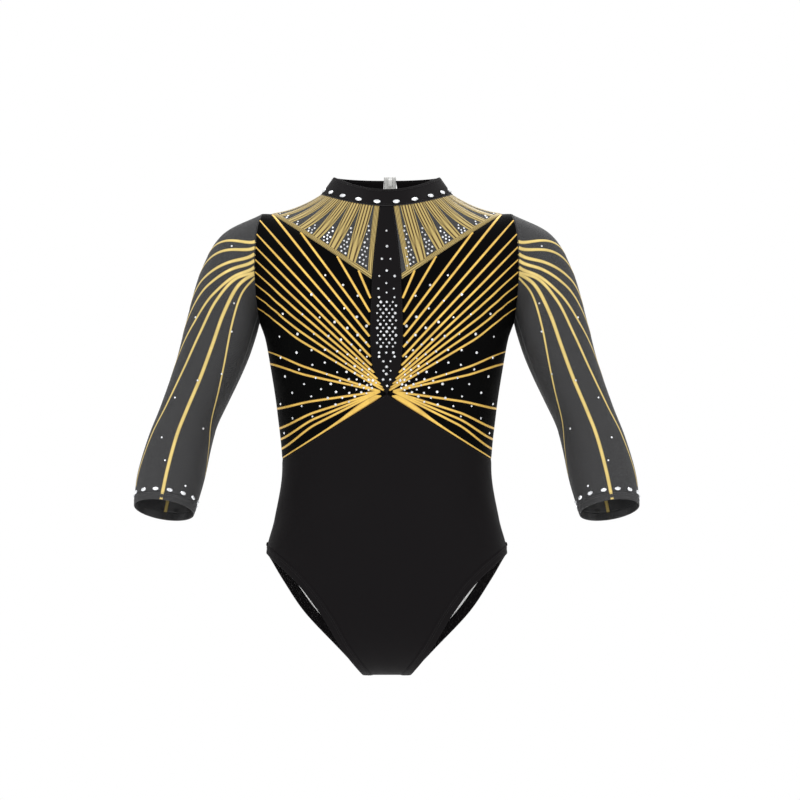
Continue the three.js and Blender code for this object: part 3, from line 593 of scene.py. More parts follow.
# ---- zip frame ----
ZIP_DOWN = unit(np.array([0, ZIP_TILT, -1.0]))
ZIP_OUT = unit(np.array([0, 1.0, ZIP_TILT]))
ZIP_ORIGIN = np.array([ZIP_CENTRE, float(back_line(ZIP_TOP)), ZIP_TOP])


def on_zip(x, down, out):
    """Points at x across the zip, down along it and out of it."""
    x, down, out = (np.asarray(v, float)[..., None] for v in np.broadcast_arrays(x, down, out))
    return ZIP_ORIGIN + x * np.array([1.0, 0, 0]) + down * ZIP_DOWN + out * ZIP_OUT


# ---- meshes ----
def new_piece(name, points, faces, uv=None, faceted=False):
    """A mesh object at the origin from millimetre points and arrays of faces, with one UV row for each
    corner of each face."""
    mesh = bpy.data.meshes.new(name)
    mesh.vertices.add(len(points))
    mesh.vertices.foreach_set("co", to_row(points).astype(np.float32).ravel())
    corners = np.concatenate([np.asarray(block).ravel() for block in faces]).astype(np.int32)
    sizes = np.concatenate([np.full(len(block), np.asarray(block).shape[1]) for block in faces])
    mesh.loops.add(len(corners))
    mesh.loops.foreach_set("vertex_index", corners)
    mesh.polygons.add(len(sizes))
    starts = np.concatenate([[0], np.cumsum(sizes)[:-1]]).astype(np.int32)
    mesh.polygons.foreach_set("loop_start", starts)
    mesh.polygons.foreach_set("use_smooth", np.full(len(sizes), not faceted))
    if uv is not None:
        mesh.uv_layers.new(name="Cloth").data.foreach_set("uv", np.asarray(uv, np.float32).ravel())
    mesh.update(calc_edges=True)
    mesh.validate()
    made = bpy.data.objects.new(name, mesh)
    bpy.context.scene.collection.objects.link(made)
    return made


def grid_faces(rows, wide, wrap=False):
    """Quads of a grid, and the same quads on a grid with one more column, for a UV map that meets
    itself where the grid wraps."""
    r, c = np.meshgrid(np.arange(rows - 1), np.arange(wide if wrap else wide - 1), indexing="ij")
    r, c = r.ravel(), c.ravel()
    across = wide + 1 if wrap else wide

    def quads(width, turn):
        n = (c + 1) % turn
        return np.stack([r * width + c, r * width + n, (r + 1) * width + n, (r + 1) * width + c], -1)

    return quads(wide, wide if wrap else wide + 1), quads(across, wide + 2)


def facing(points, quads, normals):
    """1 if the quads turn the way that the normals point, or -1."""
    a, b, c, d = (points[quads[:, k]] for k in range(4))
    return 1 if np.sum(np.cross(c - a, d - b) * normals[quads[:, 0]]) >= 0 else -1


def path_length(points, axis):
    """Distance along an axis of a grid of points, in metres, from its first point."""
    step = np.linalg.norm(np.diff(points, axis=axis), axis=-1) / 1000
    start = np.zeros_like(np.take(step, [0], axis=axis))
    return np.cumsum(np.concatenate([start, step], axis=axis), axis=axis)


def run_length(points):
    """Distance along a path, in metres, from its first point."""
    return path_length(points[:, None], 0)[:, 0]


def patch_area(points, wrap=False):
    """Area of a grid of points, in square metres."""
    if wrap:
        points = np.concatenate([points, points[:, :1]], axis=1)
    a, b, c, d = points[:-1, :-1], points[:-1, 1:], points[1:, 1:], points[1:, :-1]
    return float(np.sum(np.linalg.norm(np.cross(c - a, d - b), axis=-1)) / 2 / 1e6)


STRETCH = 1.08  # how much longer the cloth is on the form than it was cut


def cloth(name, grid, finish, thickness, stands_for, wrap=False, inside=None):
    """A sheet of cloth through a grid of points, with its thickness to the inside and a finish of its
    own there if given. Its UV map holds the distance in metres across the cloth, from its middle, and
    along it."""
    points, normals = grid
    rows, wide = points.shape[:2]
    quads, uv_quads = grid_faces(rows, wide, wrap)
    closed = np.concatenate([points, points[:, :1]], axis=1) if wrap else points
    across = path_length(closed, 1)
    across = across - across[:, across.shape[1] // 2][:, None]
    uv = np.stack([across, path_length(closed, 0)], -1).reshape(-1, 2)
    flat_points, flat_normals = points.reshape(-1, 3), normals.reshape(-1, 3)
    if facing(flat_points, quads, flat_normals) < 0:
        quads, uv_quads = quads[:, ::-1], uv_quads[:, ::-1]
    made = new_piece(name, flat_points, [quads], uv[uv_quads.ravel()])
    wall = made.modifiers.new("Thickness", "SOLIDIFY")
    wall.thickness, wall.offset = thickness, -1
    area = patch_area(points, wrap) / STRETCH**2
    size = (float(np.ptp(across, axis=1).max()) / STRETCH, float(uv[:, 1].max()) / STRETCH)
    size = (size[0], max(size[1], area / size[0]))
    settle(made, finish, stands_for)
    if inside:
        made.data.materials.append(inside)
        wall.material_offset = 1
    return made


def settle(made, finish, stands_for=(), body="garment"):
    """Gives a piece its material, hides the CAD nodes it stands for and hangs it on the body it rides on."""
    made.data.materials.clear()
    made.data.materials.append(finish)
    if stands_for:
        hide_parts(*stands_for)
    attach(made, body)
    return made


def joined(name, parts, faceted=False):
    """One piece from many (points, list of face arrays, corner UVs) parts."""
    points, faces, uvs, start = [], {}, {}, 0
    for part_points, part_faces, part_uv in parts:
        points.append(part_points)
        used = 0
        for block in part_faces:
            block = np.asarray(block)
            corners = block.size
            faces.setdefault(block.shape[1], []).append(block + start)
            uvs.setdefault(block.shape[1], []).append(part_uv[used:used + corners])
            used += corners
        start += len(part_points)
    order = sorted(faces)
    blocks = [np.concatenate(faces[size]) for size in order]
    uv = np.concatenate([np.concatenate(uvs[size]) for size in order])
    return new_piece(name, np.concatenate(points), blocks, uv, faceted)


# A foil line's section: places across it from -1 to 1, and its height there as a share of the lift.
# The last two lie under the cloth's face, so that the line is a closed body
FOIL_SECTION = ((-1, 0.3), (-0.7, 0.9), (0, 1), (0.7, 0.9), (1, 0.3), (0.9, -1), (-0.9, -1))
TOP_FACES = 4  # the faces over the cloth, between the first five of these places


def foil_line(points, normals, half_width, lift, depth=None):
    """A raised foil line along a path: at each point the section is spread along the cross product of
    the normal and the path's direction. UV: across 0 to 1, and metres along."""
    along = unit(np.gradient(points, axis=0))
    side = unit(np.cross(normals, along))
    across, height = np.array(FOIL_SECTION).T
    height = np.where(height > 0, height * lift, height * (depth or lift))
    half_width = np.broadcast_to(half_width, len(points))
    grid = (points[:, None] + side[:, None] * (half_width[:, None] * across)[..., None]
            + normals[:, None] * height[None, :, None])
    rows, wide = grid.shape[:2]
    quads, uv_quads = grid_faces(rows, wide, True)
    u = np.append(across, across[0]) / 2 + 0.5
    v = run_length(points)
    uv = np.stack(np.broadcast_arrays(u[None, :], v[:, None]), -1).reshape(-1, 2)
    flat = grid.reshape(-1, 3)
    top = grid_faces(rows, wide)[0].reshape(rows - 1, wide - 1, 4)[:, :TOP_FACES].reshape(-1, 4)
    ends = [np.arange(wide), (rows - 1) * wide + np.arange(wide)]
    ends[0] = ends[0][::-1]
    if facing(flat, top, np.repeat(normals, wide, axis=0)) < 0:
        quads, uv_quads, ends = quads[:, ::-1], uv_quads[:, ::-1], [end[::-1] for end in ends]
    cap_uv = [uv[0:wide] for _ in ends]
    return flat, [quads, np.stack(ends)], np.concatenate([uv[uv_quads.ravel()], *cap_uv])


def foil_patch(points, normals, lift):
    """A raised foil patch over a grid of points: the grid lifted, its first and last rows nearly down
    to the cloth's face, and closed underneath. UV: 0 to 1 over the rows, and metres along them."""
    rows, wide = points.shape[:2]
    top = points + normals * lift
    under = points - normals * lift
    top[[0, -1]] -= normals[[0, -1]] * lift * 0.8
    quads, _ = grid_faces(rows, wide)
    flat = np.concatenate([top.reshape(-1, 3), under.reshape(-1, 3)])
    if facing(flat, quads, np.concatenate([normals.reshape(-1, 3)] * 2)) < 0:
        quads = quads[:, ::-1]
    ids = np.arange(rows * wide).reshape(rows, wide)
    rim = np.concatenate([ids[0], ids[1:, -1], ids[-1, -2::-1], ids[-2:0:-1, 0]])
    after = np.roll(rim, -1)
    wall = np.stack([rim, after, after + rows * wide, rim + rows * wide], -1)
    edge = unit(np.mean(flat[rim], 0) - flat[rim[0]])
    a, b, c = flat[wall[0, 0]], flat[wall[0, 1]], flat[wall[0, 2]]
    if np.dot(np.cross(b - a, c - a), edge) > 0:
        wall = wall[:, ::-1]
    uv = np.stack(np.broadcast_arrays(spread(0, 1, rows)[:, None], path_length(points, 1)), -1)
    uv = np.concatenate([uv.reshape(-1, 2)] * 2)
    blocks = [np.concatenate([quads, (quads + rows * wide)[:, ::-1], wall])]
    return flat, blocks, uv[blocks[0].ravel()]


def round_line(points, normals, radius, sides=6):
    """A thread or cord along a path: circles square to the path, with both ends capped."""
    along = unit(np.gradient(points, axis=0))
    side = unit(np.cross(normals, along))
    up = np.cross(along, side)
    turn = np.linspace(0, 2 * np.pi, sides, endpoint=False)
    radius = np.broadcast_to(radius, len(points))[:, None, None]
    grid = points[:, None] + radius * (
        side[:, None] * np.cos(turn)[None, :, None] + up[:, None] * np.sin(turn)[None, :, None])
    rows = len(points)
    quads, uv_quads = grid_faces(rows, sides, True)
    u, v = spread(0, 1, sides + 1), run_length(points)
    uv = np.stack(np.broadcast_arrays(u[None, :], v[:, None]), -1).reshape(-1, 2)
    caps = np.stack([np.arange(sides), ((rows - 1) * sides + np.arange(sides))[::-1]])
    outward = grid - points[:, None]
    if facing(grid.reshape(-1, 3), quads, outward.reshape(-1, 3)) < 0:
        quads, uv_quads = quads[:, ::-1], uv_quads[:, ::-1]
    else:
        caps = caps[:, ::-1]
    return grid.reshape(-1, 3), [quads, caps], np.concatenate([uv[uv_quads.ravel()], uv[:sides], uv[:sides]])


def stitches(points, normals, pitch, thickness, sides=5):
    """Sewn stitches along a path: for each, a short thread over 3/4 of the pitch that rises off the cloth
    as a half sine and dives into it at both ends."""
    run = run_length(points) * 1000
    count = max(int(run[-1] / pitch), 1)
    f = spread(0, 1, 5)
    where = (np.arange(count)[:, None] + 0.12 + 0.76 * f) * run[-1] / count

    def sampled(values):
        return np.stack([np.interp(where, run, values[:, k]) for k in range(3)], -1)

    normal = unit(sampled(normals))
    middle = sampled(points) + normal * (thickness * (np.sin(np.pi * f) * 0.9 - 0.35))[None, :, None]
    along = unit(np.gradient(middle, axis=1))
    side = unit(np.cross(normal, along))
    turn = np.linspace(0, 2 * np.pi, sides, endpoint=False)
    girth = (thickness / 2 * np.array([0.5, 0.95, 1, 0.95, 0.5]))[None, :, None, None]
    ring = middle[:, :, None] + girth * (
        side[:, :, None] * np.cos(turn)[:, None] + np.cross(along, side)[:, :, None] * np.sin(turn)[:, None])
    quads, uv_quads = grid_faces(5, sides, True)
    if facing(ring[0].reshape(-1, 3), quads, (ring[0] - middle[0][:, None]).reshape(-1, 3)) < 0:
        quads, uv_quads = quads[:, ::-1], uv_quads[:, ::-1]
        caps = np.stack([np.arange(sides), (4 * sides + np.arange(sides))[::-1]])
    else:
        caps = np.stack([np.arange(sides)[::-1], 4 * sides + np.arange(sides)])
    offset = (np.arange(count) * 5 * sides)[:, None, None]
    along_thread, round_thread = np.meshgrid(
        spread(0, pitch / 1000, 5), spread(0, 1, sides + 1), indexing="ij")
    uv = np.stack([round_thread, along_thread], -1).reshape(-1, 2)
    face_uv = np.tile(uv[uv_quads.ravel()], (count, 1))
    cap_uv = np.zeros((count * 2 * sides, 2))
    all_quads, all_caps = (quads[None] + offset).reshape(-1, 4), (caps[None] + offset).reshape(-1, sides)
    return ring.reshape(-1, 3), [all_quads, all_caps], np.concatenate([face_uv, cap_uv])


def set_stones(centres, normals, up, long_way, short_way, rise):
    """Faceted stones: an eight-sided table, a girdle turned by half a side and a base, joined by
    triangles above the girdle and quads below it, one for each centre."""
    normals = unit(normals)
    right = unit(np.cross(up, normals))
    up = np.cross(normals, right)
    k = np.arange(8)
    table = np.stack([0.56 * np.cos(k * np.pi / 4), 0.56 * np.sin(k * np.pi / 4), np.ones(8)], -1)
    turned = (k + 0.5) * np.pi / 4
    girdle = np.stack([np.cos(turned), np.sin(turned), np.full(8, 0.42)], -1)
    base = girdle * (0.95, 0.95, 0)
    shape = np.concatenate([table, girdle, base]) * 0.5
    sizes = [np.broadcast_to(np.asarray(v, float), len(centres))[:, None, None]
             for v in (long_way, short_way, np.asarray(rise) * 2)]
    points = centres[:, None] + sum(
        size * shape[None, :, axis, None] * frame_axis[:, None]
        for axis, (size, frame_axis) in enumerate(zip(sizes, (right, up, normals))))
    after = (k + 1) % 8
    triangles = np.concatenate([
        np.stack([k, 8 + k, after], -1), np.stack([after, 8 + k, 8 + after], -1)])
    walls = np.stack([8 + k, 16 + k, 16 + after, 8 + after], -1)
    flats = np.stack([k, 16 + k[::-1]])
    offset = (np.arange(len(centres)) * 24)[:, None, None]
    blocks = [(block[None] + offset).reshape(-1, block.shape[1]) for block in (triangles, walls, flats)]
    corners = sum(block.size for block in blocks)
    return points.reshape(-1, 3), blocks, np.zeros((corners, 2))


def round_stones(points, normals, size):
    """Upright round stones, each of its own diameter and 0.42 of it high."""
    up = np.broadcast_to((0.0, 0.0, 1.0), points.shape)
    return set_stones(points, normals, up, size, size, size * 0.42)


def stone_sizes(numbers):
    """Diameters between the smallest and the largest stone, from numbers between 0 and 1."""
    return mm("small_stone") + (mm("large_stone") - mm("small_stone")) * numbers


def softened(node, name, width):
    """A CAD node's own shape with its edges rounded: a merged copy with a bevel."""
    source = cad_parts[node]
    made = bpy.data.objects.new(name, source.data.copy())
    bpy.context.scene.collection.objects.link(made)
    shape = bmesh.new()
    shape.from_mesh(made.data)
    bmesh.ops.remove_doubles(shape, verts=shape.verts, dist=1e-6)
    bmesh.ops.dissolve_limit(shape, angle_limit=math.radians(4), verts=shape.verts, edges=shape.edges)
    bmesh.ops.recalc_face_normals(shape, faces=shape.faces)
    for face in shape.faces:
        face.smooth = True
    shape.to_mesh(made.data)
    shape.free()
    bevel = made.modifiers.new("Rounded edges", "BEVEL")
    bevel.width, bevel.segments, bevel.limit_method = width, 3, "ANGLE"
    bevel.harden_normals = True
    return made


# ---- node groups and finishes ----
def add(tree, kind, inputs=None, **settings):
    """A node of that kind, with its settings, and its inputs given as values or as other sockets."""
    made = tree.nodes.new(kind)
    for key, value in settings.items():
        setattr(made, key, value)
    for key, value in (inputs or {}).items():
        if isinstance(value, bpy.types.NodeSocket):
            tree.links.new(value, made.inputs[key])
        else:
            made.inputs[key].default_value = value
    return made


def sum_of(tree, operation, *values):
    """A Math node's output."""
    return add(tree, "ShaderNodeMath", dict(enumerate(values)), operation=operation).outputs[0]


def ranged(tree, value, low, high, start=0.0, end=1.0, way="LINEAR"):
    """A value carried from between start and end to between low and high."""
    return add(tree, "ShaderNodeMapRange", {0: value, 1: start, 2: end, 3: low, 4: high},
               interpolation_type=way).outputs[0]


def object_place(tree):
    """The place on the garment."""
    return add(tree, "ShaderNodeTexCoord").outputs["Object"]


def noise(tree, place, scale, detail):
    """Uneven patches, from 0 to 1."""
    return add(tree, "ShaderNodeTexNoise", {"Vector": place, "Scale": scale, "Detail": detail}).outputs["Fac"]


def group(name, inputs, outputs, build):
    """A shader node group, built once: inputs are (name, kind, default), outputs (name, kind)."""
    if name in bpy.data.node_groups:
        return bpy.data.node_groups[name]
    tree = bpy.data.node_groups.new(name, "ShaderNodeTree")
    for label, kind, default in inputs:
        socket = tree.interface.new_socket(label, in_out="INPUT", socket_type="NodeSocket" + kind)
        if default is not None:
            socket.default_value = default
    for label, kind in outputs:
        tree.interface.new_socket(label, in_out="OUTPUT", socket_type="NodeSocket" + kind)
    start, end = tree.nodes.new("NodeGroupInput"), tree.nodes.new("NodeGroupOutput")
    for label, value in build(tree, start.outputs).items():
        tree.links.new(value, end.inputs[label])
    return tree


def knit_loops():
    """Rows of knit loops: each wale is a column of V shapes, a sine along the cloth whose phase leans
    with the distance from the wale's middle."""

    def build(tree, given):
        place = add(tree, "ShaderNodeSeparateXYZ", {0: given["Vector"]})
        across = sum_of(tree, "DIVIDE", place.outputs[0], given["Wale"])
        fold = sum_of(tree, "PINGPONG", across, 0.5)
        along = sum_of(tree, "DIVIDE", place.outputs[1], given["Wale"])
        phase = sum_of(tree, "MULTIPLY", sum_of(tree, "MULTIPLY_ADD", fold, 0.9, along), 2 * math.pi)
        wave = sum_of(tree, "MULTIPLY_ADD", sum_of(tree, "SINE", phase), 0.5, 0.5)
        off = sum_of(tree, "ABSOLUTE", sum_of(tree, "MULTIPLY_ADD", fold, 4.0, -1.0))
        column = sum_of(tree, "MULTIPLY_ADD", sum_of(tree, "SUBTRACT", 1.0, off), 0.6, 0.4)
        height = sum_of(tree, "MULTIPLY", sum_of(tree, "MULTIPLY_ADD", wave, 0.55, 0.45), column)
        return {"Height": height, "Variation": noise(tree, given["Vector"], 26.0, 3.0)}

    return group("Knit Loops", [("Vector", "Vector", None), ("Wale", "Float", 0.0007)],
                 [("Height", "Float"), ("Variation", "Float")], build)


def sheer_net():
    """A fine net on the bias: two diagonal sets of yarns, sines along the sum and the difference of the
    two directions. The yarns are solid and the eyes between them let light through."""

    def build(tree, given):
        place = add(tree, "ShaderNodeSeparateXYZ", {0: given["Vector"]})
        turns = sum_of(tree, "DIVIDE", 2 * math.pi, given["Eye"])
        plus = sum_of(tree, "ADD", place.outputs[0], place.outputs[1])
        minus = sum_of(tree, "SUBTRACT", place.outputs[0], place.outputs[1])
        one = sum_of(tree, "SINE", sum_of(tree, "MULTIPLY", plus, turns))
        two = sum_of(tree, "SINE", sum_of(tree, "MULTIPLY", sum_of(tree, "MULTIPLY", minus, turns), 0.5))
        eye = sum_of(tree, "MULTIPLY", sum_of(tree, "MAXIMUM", one, 0.0), sum_of(tree, "ABSOLUTE", two))
        thick = sum_of(tree, "SUBTRACT", 1.0, eye)
        cover = sum_of(tree, "SUBTRACT", 1.0, sum_of(tree, "MULTIPLY", eye, given["Openness"]))
        return {"Cover": cover, "Height": thick, "Fleck": noise(tree, given["Vector"], 900.0, 1.0)}

    inputs = [("Vector", "Vector", None), ("Eye", "Float", 0.0022), ("Openness", "Float", 0.5)]
    return group("Sheer Net", inputs, [("Cover", "Float"), ("Height", "Float"), ("Fleck", "Float")], build)


def foil_sheen():
    """Foil bonded to knit: painted highlight along its middle, painted shade towards both edges, and broken
    by a fine crackle where the cloth has stretched."""

    def build(tree, given):
        place = add(tree, "ShaderNodeSeparateXYZ", {0: given["Vector"]})
        off = sum_of(tree, "ABSOLUTE", sum_of(tree, "MULTIPLY_ADD", place.outputs[0], 2.0, -1.0))
        # Painted highlight along the middle of a foil line, fading to painted shade at both edges.
        lit_middle = ranged(tree, sum_of(tree, "SUBTRACT", 1.0, off), 0.0, 1.0, 0.04, 0.55, "SMOOTHSTEP")
        spot = object_place(tree)
        crackle = add(tree, "ShaderNodeTexVoronoi", {"Vector": spot, "Scale": 900.0},
                      feature="DISTANCE_TO_EDGE").outputs[0]
        whole = ranged(tree, crackle, 0.55, 1.0, 0.0, 0.08)
        tone = ranged(tree, noise(tree, spot, 55.0, 4.0), 0.72, 1.08, 0.3, 0.7)
        highlight_and_crackle = sum_of(tree, "MULTIPLY", lit_middle, sum_of(tree, "MULTIPLY", whole, tone))
        return {"Mask": highlight_and_crackle, "Height": whole}

    return group("Foil Sheen", [("Vector", "Vector", None)], [("Mask", "Float"), ("Height", "Float")], build)


def twisted_yarn():
    """Twist of a sewing thread or a woven tape's ribs: a sine on a slant across the UV map."""

    def build(tree, given):
        place = add(tree, "ShaderNodeSeparateXYZ", {0: given["Vector"]})
        along = sum_of(tree, "DIVIDE", place.outputs[1], given["Pitch"])
        slant = sum_of(tree, "MULTIPLY", place.outputs[0], given["Slant"])
        wave = sum_of(tree, "SINE", sum_of(tree, "MULTIPLY", sum_of(tree, "ADD", along, slant), 2 * math.pi))
        return {"Height": sum_of(tree, "MULTIPLY_ADD", wave, 0.5, 0.5)}

    inputs = [("Vector", "Vector", None), ("Pitch", "Float", 0.0009), ("Slant", "Float", 1.0)]
    return group("Twisted Yarn", inputs, [("Height", "Float")], build)


def material(name, build, **shader):
    """A material, built once: build takes its tree and the UV socket and returns what feeds the
    shader's sockets. The rest are constants on the shader itself."""
    if name in bpy.data.materials:
        return bpy.data.materials[name]
    made = bpy.data.materials.new(name)
    made.use_nodes = True
    tree = made.node_tree
    main = tree.nodes["Principled BSDF"]
    for key, value in shader.items():
        main.inputs[key.replace("_", " ")].default_value = value
    uv = add(tree, "ShaderNodeUVMap", uv_map="Cloth").outputs[0]
    for key, value in build(tree, uv).items():
        tree.links.new(value, main.inputs[key])
    return made


def placed(tree, build, **inputs):
    """A shared group's outputs, with its inputs' own values here."""
    return add(tree, "ShaderNodeGroup", inputs, node_tree=build()).outputs


def mixed(tree, factor, a, b):
    """A colour between two, each given as a colour or a socket, by a factor."""
    a, b = (v if isinstance(v, bpy.types.NodeSocket) else (*v, 1) for v in (a, b))
    return add(tree, "ShaderNodeMix", {0: factor, 6: a, 7: b}, data_type="RGBA").outputs[2]


def shade(value, factor):
    """A colour made lighter or darker."""
    return tuple(min(v * factor, 1) for v in value)


def bumped(tree, height, distance, strength):
    """A normal from a height, whose full step is so many metres."""
    made = add(tree, "ShaderNodeBump", {"Height": height, "Distance": distance, "Strength": strength})
    return made.outputs["Normal"]


def knit(name, base, roughness, wale=0.0007, shine=0.05):
    """Stretch knit: loops as bump and as painted shade, lighter on their crowns and darker between them, and
    soft uneven patches.
    """

    def build(tree, uv):
        loops = placed(tree, knit_loops, Vector=uv, Wale=wale)
        tone = mixed(tree, loops["Variation"], shade(base, 0.82), shade(base, 1.25))
        # Painted shade: the colour lightens with the loops' height, so their crowns look lit and the hollows
        # between them shaded.
        tone = mixed(tree, loops["Height"], tone, shade(base, 1.5))
        return {
            "Base Color": tone,
            "Roughness": ranged(tree, loops["Variation"], roughness - 0.05, roughness + 0.06, 0.3, 0.7),
            "Normal": bumped(tree, loops["Height"], 0.00012, 0.5),
        }

    return material(name, build, Specular_IOR_Level=shine)


def black_knit():
    """The body, collar and bands."""
    return knit("Black knit", colours().black, 0.62)


def printed_knit():
    """The ground under the rays."""
    return knit("Printed black knit", colours().deep_black, 0.66, shine=0.03)


def knit_inside():
    """The white reverse of the body's knit."""
    return knit("Knit inside", shade(colours().white, 0.92), 0.8)


def lining_knit():
    """The linings."""
    return knit("Lining knit", shade(colours().black, 1.5), 0.8, wale=0.0011)


def net(name, base, openness, eye):
    """Sheer net: charcoal yarns with pale flecks and painted shade that darkens them towards the eyes, clear
    between them.
    """

    def build(tree, uv):
        weave = placed(tree, sheer_net, Vector=uv, Eye=eye, Openness=openness)
        # Painted shade: the yarns are lighter where they are thickest and darker towards the eyes between
        # them.
        tone = mixed(tree, weave["Height"], shade(base, 0.55), shade(base, 1.25))
        tone = mixed(tree, ranged(tree, weave["Fleck"], 0.0, 1.0, 0.58, 0.72), tone, shade(base, 2.6))
        return {
            "Base Color": tone,
            "Alpha": weave["Cover"],
            "Roughness": ranged(tree, weave["Height"], 0.78, 0.6),
            "Normal": bumped(tree, weave["Height"], 0.0002, 0.6),
        }

    return material(name, build, Specular_IOR_Level=0.2)


def sleeve_net():
    """The sleeves and cuffs."""
    return net("Sleeve mesh", colours().charcoal, 0.34, 0.0017)


def window_net():
    """The yokes, a little denser."""
    return net("Yoke mesh", colours().charcoal, 0.2, 0.0017)


def foil(name, lit_middle, edge_shade_and_crackle):
    """Foil line: gold with painted shade at its edges and a fine crackle."""

    def build(tree, uv):
        sheen = placed(tree, foil_sheen, Vector=uv)
        return {
            # Painted shade: the edge colour darkens the foil towards its edges, and the crackle shows the
            # same colour.
            "Base Color": mixed(tree, sheen["Mask"], edge_shade_and_crackle, lit_middle),
            "Roughness": ranged(tree, sheen["Mask"], 0.62, 0.4),
            "Metallic": ranged(tree, sheen["Mask"], 0.0, 0.35),
            "Normal": bumped(tree, sheen["Height"], 0.00006, 0.6),
        }

    return material(name, build, Specular_IOR_Level=0.4)


def gold_foil():
    """The rays."""
    return foil("Gold foil", colours().gold, colours().brown)


def pale_foil():
    """The sleeves' stripes."""
    # The darker pale gold is the painted shade at the stripes' edges and in their crackle.
    return foil("Pale gold foil", colours().pale_gold, shade(colours().pale_gold, 0.45))


def fan_foil():
    """A yoke's foil band: gold lines parted by thin brown ones. A cosine across the band makes three
    lines at its lower end, and one of twice the rate makes five higher up."""

    def build(tree, uv):
        sheen = placed(tree, foil_sheen, Vector=uv)
        place = add(tree, "ShaderNodeSeparateXYZ", {0: uv})
        lines = []
        for rate, wide in ((2, -0.55), (4, -0.2)):
            turn = sum_of(tree, "MULTIPLY", place.outputs[0], 2 * math.pi * rate)
            lines.append(ranged(tree, sum_of(tree, "COSINE", turn), 0.0, 1.0, wide - 0.2, wide + 0.2))
        low, high = lines
        up = ranged(tree, place.outputs[1], 0.0, 1.0, 0.022, 0.04)  # metres from the lower end
        line = sum_of(tree, "ADD", sum_of(tree, "MULTIPLY", low, sum_of(tree, "SUBTRACT", 1.0, up)),
                      sum_of(tree, "MULTIPLY", high, up))
        gold, brown = shade(colours().pale_gold, 0.62), shade(colours().brown, 0.3)
        whole = sum_of(tree, "MULTIPLY", ranged(tree, sheen["Height"], 0.6, 1.0), line)
        return {
            "Base Color": mixed(tree, whole, brown, gold),
            "Roughness": ranged(tree, sheen["Height"], 0.6, 0.42),
            "Normal": bumped(tree, sheen["Height"], 0.00006, 0.6),
        }

    return material("Yoke foil", build, Specular_IOR_Level=0.3, Metallic=0.1)


def crystal_glass():
    """Foil-backed glass: bright facets whose tone changes a little from stone to stone."""

    def build(tree, uv):
        tint = noise(tree, object_place(tree), 320.0, 2.0)
        clear = ranged(tree, tint, 0.0, 1.0, 0.35, 0.65)
        tone = mixed(tree, clear, shade(colours().crystal, 0.62), colours().crystal)
        return {"Base Color": tone, "Roughness": ranged(tree, tint, 0.04, 0.16)}

    return material("Crystal", build, Metallic=0.55, Coat_Weight=1.0, Coat_Roughness=0.03)


def sewing_thread(name, base):
    """Twisted thread: painted highlight on its turns and painted shade between them."""

    def build(tree, uv):
        twist = placed(tree, twisted_yarn, Vector=uv, Pitch=0.0009, Slant=1.0)
        return {
            # Painted shade: lighter on the twist's crests and darker in the grooves between them.
            "Base Color": mixed(tree, twist["Height"], shade(base, 0.6), shade(base, 1.3)),
            "Roughness": ranged(tree, twist["Height"], 0.7, 0.5),
            "Normal": bumped(tree, twist["Height"], 0.00008, 0.8),
        }

    return material(name, build, Specular_IOR_Level=0.3)


def black_thread():
    """Thread in black knit."""
    return sewing_thread("Black thread", shade(colours().black, 2.2))


def mesh_thread():
    """Thread in the mesh."""
    return sewing_thread("Grey thread", shade(colours().charcoal, 3.0))


def white_thread():
    """Thread in the zip's tapes."""
    return sewing_thread("White thread", colours().white)


def woven(name, base, pitch, slant, roughness):
    """Woven tape or satin: slanting ribs with painted shade between them, and a little soiling."""

    def build(tree, uv):
        ribs = placed(tree, twisted_yarn, Vector=uv, Pitch=pitch, Slant=slant)
        loops = placed(tree, knit_loops, Vector=uv, Wale=0.0006)
        soiled = ranged(tree, loops["Variation"], 0.0, 0.35, 0.4, 0.8)
        # Painted shade: the colour darkens between the ribs and stays full on their crests.
        tone = mixed(tree, ribs["Height"], shade(base, 0.72), base)
        return {
            "Base Color": mixed(tree, soiled, tone, shade(base, 0.8)),
            "Roughness": ranged(tree, ribs["Height"], roughness + 0.1, roughness),
            "Normal": bumped(tree, ribs["Height"], 0.00012, 0.7),
        }

    return material(name, build, Specular_IOR_Level=0.3)


def zip_tape_cloth():
    """The zip's tapes."""
    return woven("Zip tape", colours().white, 0.0011, 900.0, 0.65)


def label_satin():
    """The care label."""
    return woven("Label satin", colours().white, 0.0005, 300.0, 0.35)


def nylon():
    """White nylon of the zip's coil, dulled in small patches."""

    def build(tree, uv):
        wear = noise(tree, object_place(tree), 400.0, 2.0)
        return {
            "Base Color": mixed(tree, wear, shade(colours().white, 0.82), colours().white),
            "Roughness": ranged(tree, wear, 0.25, 0.45),
        }

    return material("Nylon coil", build, Specular_IOR_Level=0.5)


def enamel():
    """White enamel on cast metal, rubbed thin in small patches."""

    def build(tree, uv):
        spot = object_place(tree)
        rub, fine = noise(tree, spot, 260.0, 5.0), noise(tree, spot, 1800.0, 2.0)
        thin = ranged(tree, rub, 0.0, 1.0, 0.62, 0.72)
        return {
            "Base Color": mixed(tree, thin, colours().white, (0.5, 0.5, 0.5)),
            "Roughness": ranged(tree, rub, 0.2, 0.38, 0.3, 0.7),
            "Metallic": ranged(tree, thin, 0.0, 0.7),
            "Normal": bumped(tree, fine, 0.00003, 0.4),
        }

    return material("White enamel", build, Coat_Weight=0.4, Coat_Roughness=0.1)


# ---- paths along seams ----
def panel_grid(place, back, sign, rows, wide):
    """Skin points over a panel: even rows from the seam up, and columns from the centre out that lie
    closer and closer."""
    v, u = np.meshgrid(spread(0, 1, rows), spread(0, 1, wide), indexing="ij")
    return over(place(ease(u), v), back, sign)


def over(flat, back, sign, lift=0.0):
    """Skin points over flat places of (distance from the centre, height)."""
    return skin(sign * flat[..., 0], flat[..., 1], back, lift)


